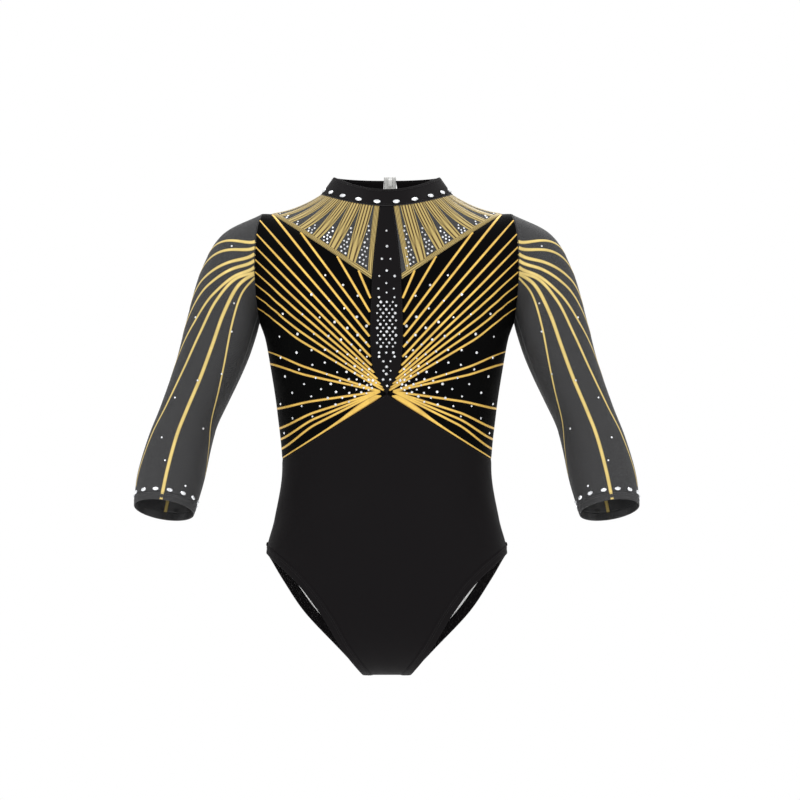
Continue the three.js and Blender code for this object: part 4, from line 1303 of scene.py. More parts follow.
def sewn(name, parts, thread=None):
    """A piece of thread or cord, black unless another thread is given."""
    settle(joined(name, parts), thread or black_thread())


def gems(name, parts, nodes=()):
    """A piece of stones."""
    settle(joined(name, parts, faceted=True), crystal_glass(), nodes)


def collar_angles(count):
    """Angles round the collar, from one side of the zip to the other."""
    start = math.asin((ZIP_CENTRE + TAPE_HALF) / COLLAR_TOP_HALF)
    end = math.asin((TAPE_HALF - ZIP_CENTRE) / COLLAR_TOP_HALF)
    return spread(start - math.pi / 2, 3 * math.pi / 2 - end, count)


def leg_ring(sign, count, across, lift=0.0):
    """Points round a leg opening at a share of the band's width, from its edge at 0 inwards: up the
    front, over the hip and down the back."""
    t = ease(spread(0, 1, count)) ** 2
    rings = []
    for back in (False, True):
        z = HIP * soft_step(t)
        edge = pair((leg_back if back else leg_front)(z), z)
        flat = edge * (1 - across) + leg_line(t, back) * across
        flat[..., 0] = np.minimum(flat[..., 0], body_half(flat[..., 1]))
        rings.append(over(flat, back, sign, lift))
    (front, front_normal), (back, back_normal) = rings
    joint_normal = unit(front_normal[-1] + back_normal[-1])
    return (np.concatenate([front, back[-2:0:-1]]),
            np.concatenate([front_normal[:-1], joint_normal[None], back_normal[-2:0:-1]]))


class Maker:
    """What every operator here has."""

    bl_options = {"REGISTER", "UNDO"}


# ---- panels ----
class LEOTARD_OT_lower_panels(Maker, bpy.types.Operator):
    """Plain black panels from the crotch to the V seam, front and back, in rows of even height: the leg
    part's rows undo the smooth step that leads its edge to the hip"""

    bl_idname = "leotard.lower_panels"
    bl_label = "Lower panels"

    def execute(self, context):
        for face, back in FACES:
            leg = 0.5 - np.sin(np.arcsin(1 - 2 * spread(0, 1, 100)) / 3)
            v = np.concatenate([leg * LEG_SHARE, spread(LEG_SHARE, 1, 46)[1:]])
            v, a = np.meshgrid(v, spread(-1, 1, 145), indexing="ij")
            grid = over(lower_place(back)(a, v), back, 1)
            cloth(f"{face}_lower_cloth", grid, black_knit(), sizes().knit,
                  [f"{face}_lower_panel"], inside=knit_inside())
        return {"FINISHED"}


class LEOTARD_OT_centre_panel(Maker, bpy.types.Operator):
    """The black spear down the breastbone, whose end rows take up the V seam's and the neck's shape by
    a bell curve of their distance"""

    bl_idname = "leotard.centre_panel"
    bl_label = "Centre panel"

    def execute(self, context):
        low = float(v_height(SPEAR_TIP))
        z = SEAM_PEAK + (NECK_FRONT - SEAM_PEAK) * spread(0, 1, 121)[:, None]
        share = spread(-1, 1, 17)[None, :]
        low_edge = low + (SEAM_PEAK - low) * (1 - np.abs(share))
        x, fade = share * spear_half(z), 6
        end = np.exp(-(((z - SEAM_PEAK) / fade) ** 2))
        top = np.exp(-(((NECK_FRONT - z) / fade) ** 2))
        z = z + (low_edge - SEAM_PEAK) * end + (neck_height(np.abs(x), False) - NECK_FRONT) * top
        cloth("centre_cloth", skin(x, z, False), black_knit(), sizes().knit,
              ["front_centre_panel"])
        return {"FINISHED"}


class LEOTARD_OT_bodices(Maker, bpy.types.Operator):
    """Black panels that carry the gold rays, two in front and two behind"""

    bl_idname = "leotard.bodices"
    bl_label = "Bodices"

    def execute(self, context):
        for face, back in FACES:
            for side, sign in SIDES:
                grid = panel_grid(bodice_place(back, sign), back, sign, 129, 89)
                cloth(f"{face}_bodice_cloth_{side}", grid, printed_knit(), sizes().knit,
                      [f"{face}_bodice_{side}"])
        return {"FINISHED"}


class LEOTARD_OT_yokes(Maker, bpy.types.Operator):
    """Sheer yokes under the collar, two in front and two behind"""

    bl_idname = "leotard.yokes"
    bl_label = "Yokes"

    def execute(self, context):
        for face, back in FACES:
            for side, sign in SIDES:
                grid = panel_grid(yoke_place(back, sign), back, sign, 65, 65)
                cloth(f"{face}_yoke_mesh_{side}", grid, window_net(), sizes().knit,
                      [f"{face}_yoke_{side}"])
        return {"FINISHED"}


class LEOTARD_OT_sleeves(Maker, bpy.types.Operator):
    """Sheer sleeves with a seam under the arm, and their hemmed cuffs"""

    bl_idname = "leotard.sleeves"
    bl_label = "Sleeves"

    def execute(self, context):
        around = np.linspace(0, 2 * np.pi, 96, endpoint=False)[None, :]
        down = spread(0, CUFF_FROM, 161)[:, None]
        hem = spread(CUFF_FROM, 1, 9)[:, None]
        roll = 0.25 * (1 - (2 * (hem - CUFF_FROM) / (1 - CUFF_FROM) - 1) ** 4)
        for side, sign in SIDES:
            cloth(f"sleeve_mesh_{side}", sleeve(down, around, sign), sleeve_net(), sizes().mesh,
                  [f"upper_sleeve_{side}", f"lower_sleeve_{side}"], wrap=True)
            place, normal = sleeve(hem, around, sign)
            cloth(f"cuff_hem_{side}", (place + normal * roll[..., None], normal), sleeve_net(),
                  sizes().mesh * 1.6, [f"cuff_band_{side}"], wrap=True)
            s = spread(0.01, 0.995, 90)
            place, normal = sleeve(s, 0.56 * np.clip(1 - s / 0.66, 0, 1) ** 0.5, sign, 0.12)
            sewn(f"underarm_seam_{side}", [round_line(place, normal, 0.36)], mesh_thread())
            place, normal = sleeve(np.full(121, 0.004), spread(0, 2 * np.pi, 121), sign, 0.1)
            sewn(f"armhole_seam_{side}", [round_line(place, normal, 0.4)])
        return {"FINISHED"}


class LEOTARD_OT_leg_bands(Maker, bpy.types.Operator):
    """Elastic bands round the leg openings, a little proud of the panels"""

    bl_idname = "leotard.leg_bands"
    bl_label = "Leg bands"

    def execute(self, context):
        for side, sign in SIDES:
            rings = []
            for across in spread(0, 1.06, 10):
                place, normal = leg_ring(sign, 161, across)
                share = spread(-1, 1, len(place))[:, None]
                roll = 0.15 + 0.4 * max(1 - (2 * across - 1) ** 4, 0) * np.clip(np.abs(share) * 4, 0, 1)
                rings.append((place + normal * roll, normal))
            grid = tuple(np.stack([ring[part] for ring in rings]) for part in (0, 1))
            cloth(f"leg_elastic_{side}", grid, black_knit(), sizes().knit * 1.3,
                  [f"leg_band_{side}"], wrap=True)
        return {"FINISHED"}


class LEOTARD_OT_collar(Maker, bpy.types.Operator):
    """The stand-up collar, rolled over its top edge, with its lining inside"""

    bl_idname = "leotard.collar"
    bl_label = "Collar"

    def execute(self, context):
        angle = collar_angles(241)[None, :]
        stand, over_top = 13, 8
        share = np.concatenate([spread(0.01, 1, stand), np.ones(over_top)])[:, None]
        place, normal = collar(angle, share)
        up = unit(collar_up(angle))
        radius = mm("collar") + mm("layer_gap") / 2
        turn = np.concatenate([np.zeros(stand), spread(0, np.pi, over_top + 1)[1:]])[:, None, None]
        rolled = place + up * radius * np.sin(turn) - normal * radius * (1 - np.cos(turn))
        normal = normal * np.cos(turn) + up * np.sin(turn)
        cloth("collar_cloth", (rolled, normal), black_knit(), sizes().collar * 0.9, ["collar"])
        inside = 2 * mm("collar") + mm("layer_gap")
        share = spread(0.05, 0.97, 12)[:, None]
        place, normal = collar(angle, share, -inside)
        cloth("collar_lining_cloth", (place, -normal), black_knit(), sizes().collar * 0.8,
              ["collar_lining"])
        place, normal = collar(collar_angles(241), 0.012, 0.15)
        sewn("neck_seam", [round_line(place, normal, 0.55)])
        return {"FINISHED"}


class LEOTARD_OT_lining(Maker, bpy.types.Operator):
    """The crotch lining inside the lower panels, and the blank care label inside the neck"""

    bl_idname = "leotard.lining"
    bl_label = "Lining and label"

    def execute(self, context):
        parts = []
        share = spread(-0.84, 0.84, 25)
        for back in (False, True):
            v, a = np.meshgrid(spread(0.003, 0.23, 28), share, indexing="ij")
            parts.append(over(lower_place(back)(a, v), back, 1, -mm("knit") - mm("layer_gap")))
        grid = tuple(np.concatenate([front[::-1], seat[1:]]) for front, seat in zip(*parts))
        cloth("crotch_lining_cloth", grid, lining_knit(), sizes().lining, ["crotch_lining"])
        wide, high = 22, 16
        z, x = np.meshgrid(NECK_BACK - 20 + spread(0, high, 11),
                           ZIP_CENTRE + TAPE_HALF + 6 + spread(0, wide, 15), indexing="ij")
        curl = 0.35 * np.cos((x - x.min()) / wide * 2 * np.pi) * (z.max() - z) / high
        place, normal = form(x, z, True)
        place = place - normal * (mm("knit") + mm("layer_gap") + 0.9 - curl)[..., None]
        cloth("care_label_satin", (place, normal), label_satin(), 0.0005, ["care_label"])
        edge = place[-1] - normal[-1] * 0.6 - (0, 0, 1.2)
        sewn("label_stitches", [stitches(edge, -normal[-1], 2.2, 0.35)])
        return {"FINISHED"}


# ---- gold rays on the bodices ----
HUB = (8.2, SEAM_PEAK + 3.0)  # where the rays gather, beside the centre panel's tip
RAY_SPAN = 118  # the rays start along the centre panel's edge, this far up from the hub at most
YOKE_RAYS = (0.13, 0.34, 0.70, 0.985)  # shares of the yoke's lower edge
ARMHOLE_RAYS = 8
# Rays to the side seam: share of its height, and how far the end flicks up
SIDE_RAYS = ((0.79, 4.5), (0.70, 4.5), (0.37, -3), (0.225, -6), (0.145, -8), (0.075, -9))
FLICK_FROM, THIN_FROM = 0.64, 0.8  # shares of a ray where it starts to flick and to thin
THINNED = 0.42  # share of its width that a ray has lost at its outer end
# The wedge on the V seam: its width, how much it swells, at which share and over which share of it
WEDGE_WIDTH, WEDGE_SWELL, WEDGE_PEAK, WEDGE_SPREAD = 3.4, 5.2, 0.14, 0.26


def ray_ends(back, sign):
    """Outer ends of the rays as (distance, height, flick): along the yoke, down the armhole and down
    the side. A ray is straight until it flicks up by that much near its outer end."""
    tip = float(inner_edge(YOKE_TIP, back, sign))
    ends = [(tip + (YOKE_SHOULDER - tip) * u, YOKE_TIP + YOKE_RISE * u, 0.0) for u in YOKE_RAYS]
    for share in spread(0, 1, ARMHOLE_RAYS):
        z = UNDERARM + ARMHOLE * (0.935 - 0.8 * share**0.94)
        ends.append((float(armhole_x(z)), z, 9 * share**2))
    for share, flick in SIDE_RAYS:
        z = SEAM_TURN + (UNDERARM - SEAM_TURN) * share
        ends.append((float(body_half(z)) - 0.2, z, flick))
    return ends


def ray_starts(back, sign, rays):
    """Inner ends of the rays: down the centre panel's edge, closer and closer, and then all at the hub."""
    above = len(YOKE_RAYS) + ARMHOLE_RAYS
    share = np.clip(1 - np.arange(rays) / above, 0, 1) ** 1.85
    z = HUB[1] + RAY_SPAN * share
    return pair(np.maximum(inner_edge(z, back, sign) + 0.5, np.where(share > 0, 0, HUB[0])), z)


class LEOTARD_OT_rays(Maker, bpy.types.Operator):
    """Gold foil rays from the centre panel's edge to the yoke, armhole and side, and a wedge on the V
    seam whose width is a bell curve of the way along it"""

    bl_idname = "leotard.rays"
    bl_label = "Gold rays"

    def execute(self, context):
        half, lift = mm("ray") / 2, mm("foil")
        t = ease(spread(0, 1, 90))
        for face, back in FACES:
            for side, sign in SIDES:
                parts, ends = [], ray_ends(back, sign)
                for (x0, z0), (x1, z1, flick) in zip(ray_starts(back, sign, len(ends)), ends):
                    near = soft_step(np.clip((t - FLICK_FROM) / (1 - FLICK_FROM), 0, 1))
                    z = z0 + (z1 - flick - z0) * t + flick * near
                    place, normal = over(pair(x0 + (x1 - x0) * t, z), back, sign)
                    thin = THINNED * np.clip((t - THIN_FROM) / (1 - THIN_FROM), 0, 1)
                    narrow = 1 - thin if x1 > YOKE_SHOULDER + 2 else 1
                    parts.append(foil_line(place, normal, half * narrow, lift))
                share = ease(spread(0, 1, 110))
                x = HUB[0] - 1.4 + (SIDE_HALF - 0.6 - HUB[0] + 1.4) * share
                swell = WEDGE_SWELL * np.exp(-(((share - WEDGE_PEAK) / WEDGE_SPREAD) ** 2))
                wide = WEDGE_WIDTH + swell - 1.2 * share
                wide = wide * (0.25 + 0.75 * ease(np.clip(share * 14, 0, 1)))
                place, normal = over(pair(x, v_height(x) + 0.3 + wide / 2), back, sign)
                parts.append(foil_line(place, normal, wide / 2, lift * 1.2))
                settle(joined(f"{face}_rays_{side}", parts), gold_foil())
        return {"FINISHED"}


# ---- gold fan on the yokes ----
def window_edges():
    """Shares of a yoke's width at which its windows meet, wide at the centre and narrow at the
    shoulder: one, less a power of what an even share leaves."""
    return 1 - (1 - spread(0, 1, counts().windows + 1)) ** 1.55


def band_cover(v):
    """How much of a window's width its foil bands cover, from its lower end up to the collar."""
    return 0.37 + 0.6 * v


class LEOTARD_OT_fan(Maker, bpy.types.Operator):
    """Gold bands between the yoke's sheer windows, a half band at its centre and at its shoulder, and
    the border along its lower edge"""

    bl_idname = "leotard.fan"
    bl_label = "Gold fan"

    def execute(self, context):
        lift, edges = mm("foil"), window_edges()
        gaps = np.diff(edges)
        v, across = spread(0.02, 0.995, 48)[None, :], spread(-1, 1, 9)[:, None]
        half = band_cover(v) / 2
        for face, back in FACES:
            for side, sign in SIDES:
                place, parts = yoke_place(back, sign), []
                inset = 0.055 * (1 - v) if (sign > 0 and not back) else 0.0
                for i, edge in enumerate(edges):
                    if i == 0:
                        u = inset + (1 + across) / 2 * gaps[0] * half * 0.85
                    elif i == len(gaps):
                        u = edge - (1 - across) / 2 * gaps[-1] * half
                    else:
                        u = edge + across * half * np.where(across < 0, gaps[i - 1], gaps[i])
                    flat = place(np.clip(u, 0.002, 0.998), v)
                    parts.append(foil_patch(*over(flat, back, sign), lift))
                u = spread(0.004, 0.996, 90)
                reach = np.linalg.norm(place(u, 1) - place(u, 0), axis=-1)
                v_border = spread(0, 1, 7)[:, None] * mm("border") / reach + 0.004
                flat = place(u[None, :], np.minimum(v_border, 1))
                parts.append(foil_patch(*over(flat, back, sign), lift * 1.35))
                settle(joined(f"{face}_fan_{side}", parts), fan_foil())
        return {"FINISHED"}


# ---- gold stripes on the sleeves ----
# Each stripe: degrees round the sleeve from the underarm, where it starts and ends, how far down the
# sleeve it ends, the power of its turn, and its width at both ends as a share of the full width
STRIPES = (
    (119, 180, 0.20, 1.5, 1, 0.7), (112, 180, 0.265, 1.6, 1, 0.7), (105, 180, 0.345, 1.9, 1, 0.7),
    (98, 180, 0.42, 1.8, 1, 0.6), (91, 180, 0.55, 1.65, 1, 0.5), (85, 165, 0.93, 1.0, 0.95, 0.5),
    (80, 93, 1.0, 0.25, 1, 0.95), (80, 0, 0.86, 1.8, 0.65, 0.35),
)


class LEOTARD_OT_stripes(Maker, bpy.types.Operator):
    """Gold foil stripes that leave the armhole together and run down the sleeve, through its mesh"""

    bl_idname = "leotard.stripes"
    bl_label = "Sleeve stripes"

    def execute(self, context):
        t = spread(0, 1, 110)
        for side, sign in SIDES:
            parts = []
            for start, end, reach, power, wide, narrow in STRIPES:
                s = 0.003 + (reach - 0.004) * t
                turn = np.radians(start + (end - start) * (s / reach) ** power)
                half = mm("stripe") / 2 * (wide + (narrow - wide) * t)
                for flip in (1, -1):
                    place, normal = sleeve(s, turn * flip, sign)
                    parts.append(foil_line(place, normal, half, mm("foil"), mm("mesh") + mm("foil")))
            settle(joined(f"sleeve_stripes_{side}", parts), pale_foil())
        return {"FINISHED"}


# ---- stones ----
# Rows in a window: the lowest one's share of the yoke's height, the step to the next, and the share of
# its width that a yoke loses towards the collar
ROW_FROM, ROW_STEP, YOKE_NARROWS = 0.13, 0.062, 0.42
ABREAST, LEAST_ROOM = 4.6, 1.6  # from stone to stone in a window's row, and the least room for one
SCATTER_TURN = (-26, 88)  # degrees up from level that the strewn stones lie between
SCATTER_REACH = (6, 165)  # how near and how far from the hub they lie


def golden(count, seed):
    """Numbers from 0 to 1 that never bunch up: multiples of the golden ratio, without their whole part."""
    return np.mod((np.arange(count) + seed) * 0.6180339887, 1)


def stone_rows(rows, pitch):
    """(distance from the centre, height) of stones in rows: each row is (height, how many)."""
    places = [(pitch * (k - (n - 1) / 2), z) for z, n in rows for k in range(n)]
    return np.array(places, float)


class LEOTARD_OT_stones(Maker, bpy.types.Operator):
    """Faceted stones: ovals round the collar and cuffs, and round ones over the body and sleeves"""

    bl_idname = "leotard.stones"
    bl_label = "Stones"

    def collar_row(self):
        """Ovals from one side of the zip round to the other."""
        n = counts().collar_stones
        start = math.asin((ZIP_CENTRE + TAPE_HALF + 5.5) / COLLAR_TOP_HALF)
        angle = spread(start - math.pi / 2, 3 * math.pi / 2 - start, n)
        place, normal = collar(angle, 0.23, 0.1)
        stones = set_stones(place, normal, collar_up(angle), mm("oval_long"), mm("oval_high"), 2.4)
        gems("collar_stones", [stones], [f"collar_stone_{i + 1:02d}" for i in range(n)])

    def sleeve_rows(self):
        """Ovals round each cuff, and round stones down each sleeve that sway by a sine."""
        for side, sign in SIDES:
            turn = (np.arange(counts().cuff_stones) + 0.15) * 2 * np.pi / counts().cuff_stones
            s = np.full(len(turn), CUFF_FROM - 0.012)
            place, normal = sleeve(s, turn, sign, 0.1)
            up = sleeve_point(s - 0.01, turn, sign) - sleeve_point(s, turn, sign)
            stones = set_stones(place, normal, up, mm("oval_long") * 0.9, mm("oval_high") * 0.9, 2.2)
            n = counts().sleeve_stones
            turn = np.radians(92 + 44 * np.sin(2.3 * np.arange(n) + 1.1))
            place, normal = sleeve(np.tile(spread(0.1, 0.93, n), 2), np.append(turn, -turn), sign, 0.1)
            size = mm("small_stone") * (1 + 0.25 * golden(2 * n, 1))
            gems(f"sleeve_stones_{side}", [stones, round_stones(place, normal, size)])

    def centre_rows(self):
        """Round stones in level rows down the centre panel."""
        rows = {  # distance between a row's stones: (height, how many)
            10.8: [(569, 1), (549, 1), (533, 2), (518, 1), (502, 1), (387, 1), (372, 1)],
            19.5: [(511, 2), (495, 2), (484, 2), (409, 2)],
            9.0: [(490, 1), (414, 3), (403, 2), (396, 1), (391, 2), (380, 2)],
            7.6: [(478 - 4.7 * i, 3 + i % 2) for i in range(13)],
        }
        flat = np.concatenate([stone_rows(places, pitch) for pitch, places in rows.items()])
        room = spear_half(flat[:, 1]) - 2.2
        flat[:, 0] = np.clip(flat[:, 0], -room, room) + 0.6 * np.sin(flat[:, 1])
        place, normal = skin(flat[:, 0], flat[:, 1], False, 0.08)
        gems("centre_stones", [round_stones(place, normal, stone_sizes(golden(len(flat), 2)))])

    def window_stones(self, back, sign):
        """Up to three round stones abreast in the lower half of each window, one row a little to the
        left and the next to the right."""
        edges, flats = window_edges(), []
        for i in range(len(edges) - 1):
            wide = edges[i + 1] - edges[i]
            rows = max(10 - 2 * i, 2)
            for row in range(rows):
                v, shift = ROW_FROM + row * ROW_STEP, 0.25 if row % 2 else -0.25
                room = wide * (1 - band_cover(v)) / 2
                span = room * (YOKE_SHOULDER - SPEAR_WIDE) * (1 - YOKE_NARROWS * v)
                n = int(max(min(span * 2 / ABREAST, 3), 1 if span > LEAST_ROOM else 0))
                for k in range(n):
                    u = edges[i] + wide / 2 + (k - (n - 1) / 2 + shift) * 2 * room / (n + 0.6)
                    flats.append((u, v))
        points, normals = over(yoke_place(back, sign)(*np.array(flats).T), back, sign, 0.1)
        return round_stones(points, normals, mm("small_stone") * (0.95 + 0.35 * golden(len(flats), 5)))

    def scattered(self, back, sign):
        """Round stones strewn from the hub, inside the bodice: thinner with the square of their
        distance, and those off its edges left out."""
        n, (low, high) = counts().scatter, SCATTER_TURN
        turn = np.radians(low + (high - low) * golden(n, 7 + 3 * back))
        reach = spread(*SCATTER_REACH, 400)
        room = np.cumsum(reach / (3.4 + 0.15 * reach) ** 2)
        far = np.interp((np.arange(n) + 0.5) / n, room / room[-1], reach)
        x, z = HUB[0] + 4 + far * np.cos(turn), HUB[1] + 3 + far * np.sin(turn)
        yoke_low = YOKE_TIP + YOKE_RISE * np.clip((x - SPEAR_WIDE) / (YOKE_SHOULDER - SPEAR_WIDE), 0, 1)
        side = np.where(z < UNDERARM, body_half(z), armhole_x(np.maximum(z, UNDERARM)))
        keep = (x > inner_edge(z, back, sign) + 3) & (x < side - 5)
        keep &= (z < yoke_low - 4) & (z > v_height(x) + 4)
        points, normals = skin(sign * x[keep], z[keep], back, 0.12)
        return round_stones(points, normals, stone_sizes(golden(np.sum(keep), 4)))

    def execute(self, context):
        self.collar_row()
        self.sleeve_rows()
        self.centre_rows()
        for face, back in FACES:
            for side, sign in SIDES:
                gems(f"{face}_stones_{side}", [self.window_stones(back, sign), self.scattered(back, sign)])
        return {"FINISHED"}


# ---- sewing ----
# Shares of a band's width at which its two rows of stitches run
LEG_ROWS, CUFF_ROWS, COLLAR_ROWS = (0.62, 0.82), (0.12, 0.34), (0.1, 0.9)
V_ROW, CENTRE_ROW = 2.4, 1.5  # how far from the V seam and the centre panel's edge a row runs


class LEOTARD_OT_stitching(Maker, bpy.types.Operator):
    """Two-needle hems round the legs and cuffs, and topstitching round the collar and along the seams"""

    bl_idname = "leotard.stitching"
    bl_label = "Stitching"

    def execute(self, context):
        pitch, thread = mm("stitch"), mm("thread")
        for side, sign in SIDES:
            rows = []
            for across in LEG_ROWS:
                place, normal = leg_ring(sign, 161, across, 0.42)
                rows.append(stitches(place, normal, pitch, thread))
            sewn(f"leg_hem_stitches_{side}", rows)
            rows = []
            for share in CUFF_ROWS:
                s = np.full(121, CUFF_FROM + (1 - CUFF_FROM) * share)
                place, normal = sleeve(s, spread(0, 2 * np.pi, 121), sign, 0.4)
                rows.append(stitches(place, normal, pitch, thread))
            sewn(f"cuff_hem_stitches_{side}", rows, mesh_thread())
        rows = []
        for share in COLLAR_ROWS:
            place, normal = collar(collar_angles(301), share, 0.08)
            rows.append(stitches(place, normal, pitch, thread))
        sewn("collar_stitches", rows)
        rows = []
        for _, back in FACES:
            x = spread(-SIDE_HALF + 1, SIDE_HALF - 1, 201)
            place, normal = skin(x, v_height(np.abs(x)) - V_ROW, back, 0.1)
            rows.append(stitches(place, normal, pitch, thread))
        sewn("v_seam_stitches", rows)
        rows = []
        z = spread(SEAM_PEAK + 8, NECK_FRONT - 2, 121)
        for sign in (1, -1):
            place, normal = skin(sign * (spear_half(z) - CENTRE_ROW), z, False, 0.1)
            rows.append(stitches(place, normal, pitch, thread))
        sewn("centre_stitches", rows)
        z = spread(ZIP_END - TAPE_POINT - 2, SEAM_PEAK + 3, 61)
        x = ZIP_CENTRE * (z - SEAM_PEAK) / (ZIP_END - TAPE_POINT - SEAM_PEAK)
        place, normal = skin(x, z, True, 0.12)
        sewn("centre_back_seam", [round_line(place, normal, 0.5)])
        return {"FINISHED"}


# ---- zip ----
class LEOTARD_OT_zip(Maker, bpy.types.Operator):
    """The zip: woven tapes, coiled chain halves, stops, slider and pull tab"""

    bl_idname = "leotard.zip"
    bl_label = "Zip"

    def tape(self, side, sign):
        """A woven tape whose outer edge closes to a point below the chain, and its two rows of stitches."""
        inner = CHAIN_OUTER + RUNNING_GAP
        down = spread(0, 1, 121)[:, None]
        share = spread(0, 1, 9)[None, :]
        x = inner + (TAPE_HALF - 0.25 - inner) * share
        full = (ZIP_TOP - ZIP_END + TAPE_POINT * (1 - x / TAPE_HALF)) * math.hypot(1, ZIP_TILT) - 0.4
        ribs = 0.06 * np.cos(x * 5)
        points = on_zip(sign * x, down * full, ribs)
        normals = np.broadcast_to(ZIP_OUT, points.shape)
        cloth(f"zip_tape_cloth_{side}", (points, normals), zip_tape_cloth(), TAPE_THICK / 1000,
              [f"zip_tape_{side}"])
        down = spread(1.5, ZIP_LENGTH - 1, 121)
        out = np.broadcast_to(ZIP_OUT, (121, 3))
        return [stitches(on_zip(sign * x, down, 0.12), out, 2.4, 0.42) for x in (inner + 1, TAPE_HALF - 1.6)]

    def coil(self, side, sign):
        """One chain half: a helix of round wire, flattened towards the middle, round a straight cord."""
        pitch, wire = mm("coil_pitch"), mm("coil_wire") / 2
        first, last = STOP + RUNNING_GAP + 0.4, ZIP_LENGTH - 0.4
        turns, inset = (last - first) / pitch, wire + 0.05
        turn = spread(0, turns * 2 * np.pi, int(turns * 11))
        down = first + turn * pitch / (2 * np.pi)
        middle, half_x = (CHAIN_INNER + CHAIN_OUTER) / 2, (CHAIN_OUTER - CHAIN_INNER) / 2 - inset
        level, half_out = (CHAIN_PROUD - CHAIN_DEEP) / 2, (CHAIN_PROUD + CHAIN_DEEP) / 2 - inset
        points = on_zip(sign * (middle + half_x * np.cos(turn)), down, level + half_out * np.sin(turn))
        centre = on_zip(sign * middle, down, level)
        coil = round_line(points, unit(points - centre), wire, 5)
        along = on_zip(sign * (middle + 0.15), spread(first, last, 80), -0.1)
        cord = round_line(along, np.broadcast_to(ZIP_OUT, (80, 3)), 0.42)
        settle(joined(f"zip_coil_{side}", [coil, cord]), nylon(), [f"zip_chain_{side}"])

    def execute(self, context):
        rows = []
        for side, sign in SIDES:
            rows += self.tape(side, sign)
            self.coil(side, sign)
        sewn("zip_tape_stitches", rows, white_thread())
        metal = (  # node, width of its rounded edges, and the body it rides on
            ("zip_top_stop_left", 0.3, "garment"), ("zip_top_stop_right", 0.3, "garment"),
            ("zip_bottom_stop", 0.3, "garment"), ("zip_slider", 0.28, "slider"),
            ("zip_pull_tab", 0.32, "pull_tab"),
        )
        for node, edge, body in metal:
            settle(softened(node, f"{node}_metal", edge / 1000), enamel(), [node], body)
        return {"FINISHED"}


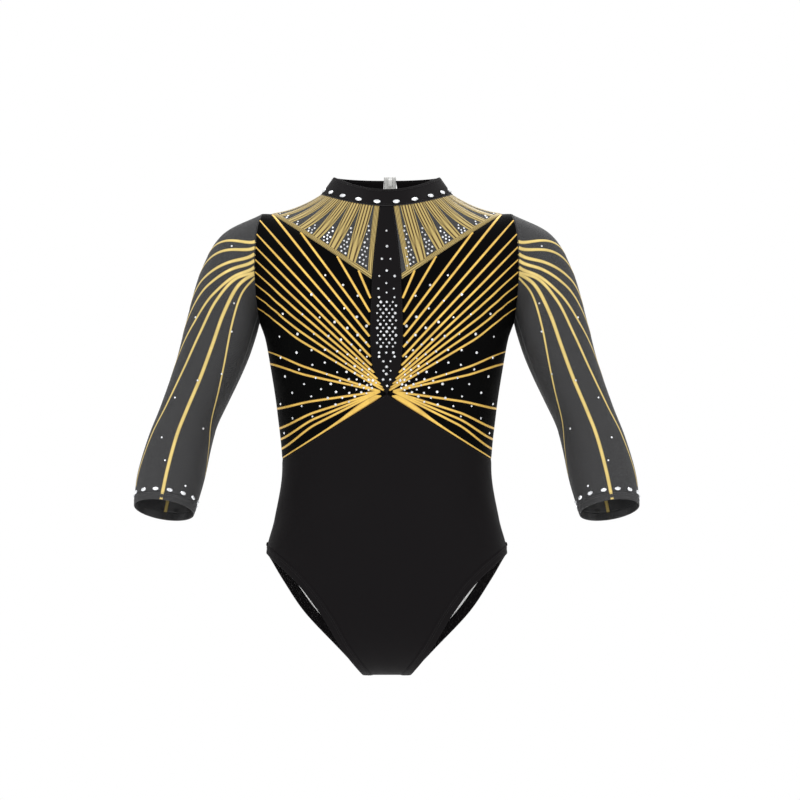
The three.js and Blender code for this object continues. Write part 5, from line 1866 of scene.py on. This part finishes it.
# ---- stage ----
class LEOTARD_OT_stage(Maker, bpy.types.Operator):
    """Pale floor, soft studio light and the camera"""

    bl_idname = "leotard.stage"
    bl_label = "Stage"

    def ground(self):
        """A flat floor, well below the piece."""
        half, height, count = 3200, NECK_SIDE - 1150, 9
        x, y = np.meshgrid(spread(-half, half, count), spread(-half, half, count), indexing="ij")
        grid = np.stack([x, y, np.full_like(x, height)], -1).reshape(-1, 3)
        quads, _ = grid_faces(count, count)
        floor = new_piece("studio_floor", grid, [quads], grid[quads.ravel()][:, :2] / 1000)

        def build(tree, uv):
            patch = noise(tree, object_place(tree), 3.0, 2.0)
            return {"Base Color": mixed(tree, patch, shade(colours().floor, 0.99), colours().floor)}

        floor.data.materials.append(material("Studio paper", build, Roughness=0.9))

    def light(self, name, place, aim, width, power):
        """A square soft light at a place, turned to its aim by the heading's pitch and bearing."""
        lamp = bpy.data.lights.new(name, "AREA")
        lamp.size, lamp.energy = width, power
        made = bpy.data.objects.new(name, lamp)
        bpy.context.scene.collection.objects.link(made)
        heading = np.array(aim) - np.array(place)
        pitch = math.atan2(heading[2], math.hypot(heading[0], heading[1]))
        made.location = place
        made.rotation_euler = (math.pi / 2 + pitch, 0, math.atan2(-heading[0], heading[1]))

    def execute(self, context):
        scene = context.scene
        self.ground()
        self.light("key", (-2.2, -3.2, 1.9), (0, 0, -0.2), 2.2, 44)
        self.light("fill", (2.6, -2.8, 1.0), (0, 0, -0.3), 2.4, 30)
        self.light("top", (0, 0.6, 2.6), (0, 0, -0.3), 2.6, 46)
        self.light("back", (0.4, 2.2, 1.8), (0, 0, -0.3), 1.6, 24)
        world = bpy.data.worlds.new("Studio air")
        world.use_nodes = True
        air = world.node_tree.nodes["Background"].inputs
        air["Color"].default_value, air["Strength"].default_value = (1, 1, 1, 1), 1.0
        scene.world = world
        scene.view_settings.view_transform = "Standard"
        lens = bpy.data.cameras.new("Front camera")
        lens.sensor_width, lens.lens = 36, 209.7
        camera = bpy.data.objects.new("Front camera", lens)
        camera.location, camera.rotation_euler = (0.017, -6, -0.264), (math.pi / 2, 0, 0)
        scene.collection.objects.link(camera)
        scene.camera = camera
        return {"FINISHED"}


OPERATORS = (
    LEOTARD_OT_lower_panels, LEOTARD_OT_centre_panel, LEOTARD_OT_bodices, LEOTARD_OT_yokes,
    LEOTARD_OT_sleeves, LEOTARD_OT_leg_bands, LEOTARD_OT_collar, LEOTARD_OT_lining, LEOTARD_OT_rays,
    LEOTARD_OT_fan, LEOTARD_OT_stripes, LEOTARD_OT_stones, LEOTARD_OT_stitching, LEOTARD_OT_zip,
    LEOTARD_OT_stage,
)


class LEOTARD_PT_sidebar(bpy.types.Panel):
    """Sizes, counts, colours and the pieces"""

    bl_label = "Leotard"
    bl_idname = "LEOTARD_PT_sidebar"
    bl_space_type = "VIEW_3D"
    bl_region_type = "UI"
    bl_category = "Leotard"

    def draw(self, context):
        for owner in ("leotard_sizes", "leotard_counts", "leotard_colours"):
            box = self.layout.box()
            values = getattr(context.scene, owner)
            for name in values.__annotations__:
                box.prop(values, name)
        for operator in OPERATORS:
            self.layout.operator(operator.bl_idname)


CLASSES = (LeotardSizes, LeotardCounts, LeotardColours, *OPERATORS, LEOTARD_PT_sidebar)


def register():
    """Adds the classes, and the sizes, counts and colours to the scene."""
    for each in CLASSES:
        bpy.utils.register_class(each)
    bpy.types.Scene.leotard_sizes = PointerProperty(type=LeotardSizes)
    bpy.types.Scene.leotard_counts = PointerProperty(type=LeotardCounts)
    bpy.types.Scene.leotard_colours = PointerProperty(type=LeotardColours)


def unregister():
    """Takes them away again."""
    for name in ("leotard_sizes", "leotard_counts", "leotard_colours"):
        delattr(bpy.types.Scene, name)
    for each in reversed(CLASSES):
        bpy.utils.unregister_class(each)


def main():
    """Registers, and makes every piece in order."""
    register()
    for operator in OPERATORS:
        group_name, action = operator.bl_idname.split(".")
        getattr(getattr(bpy.ops, group_name), action)()
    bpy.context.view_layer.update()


if __name__ == "__main__":
    main()
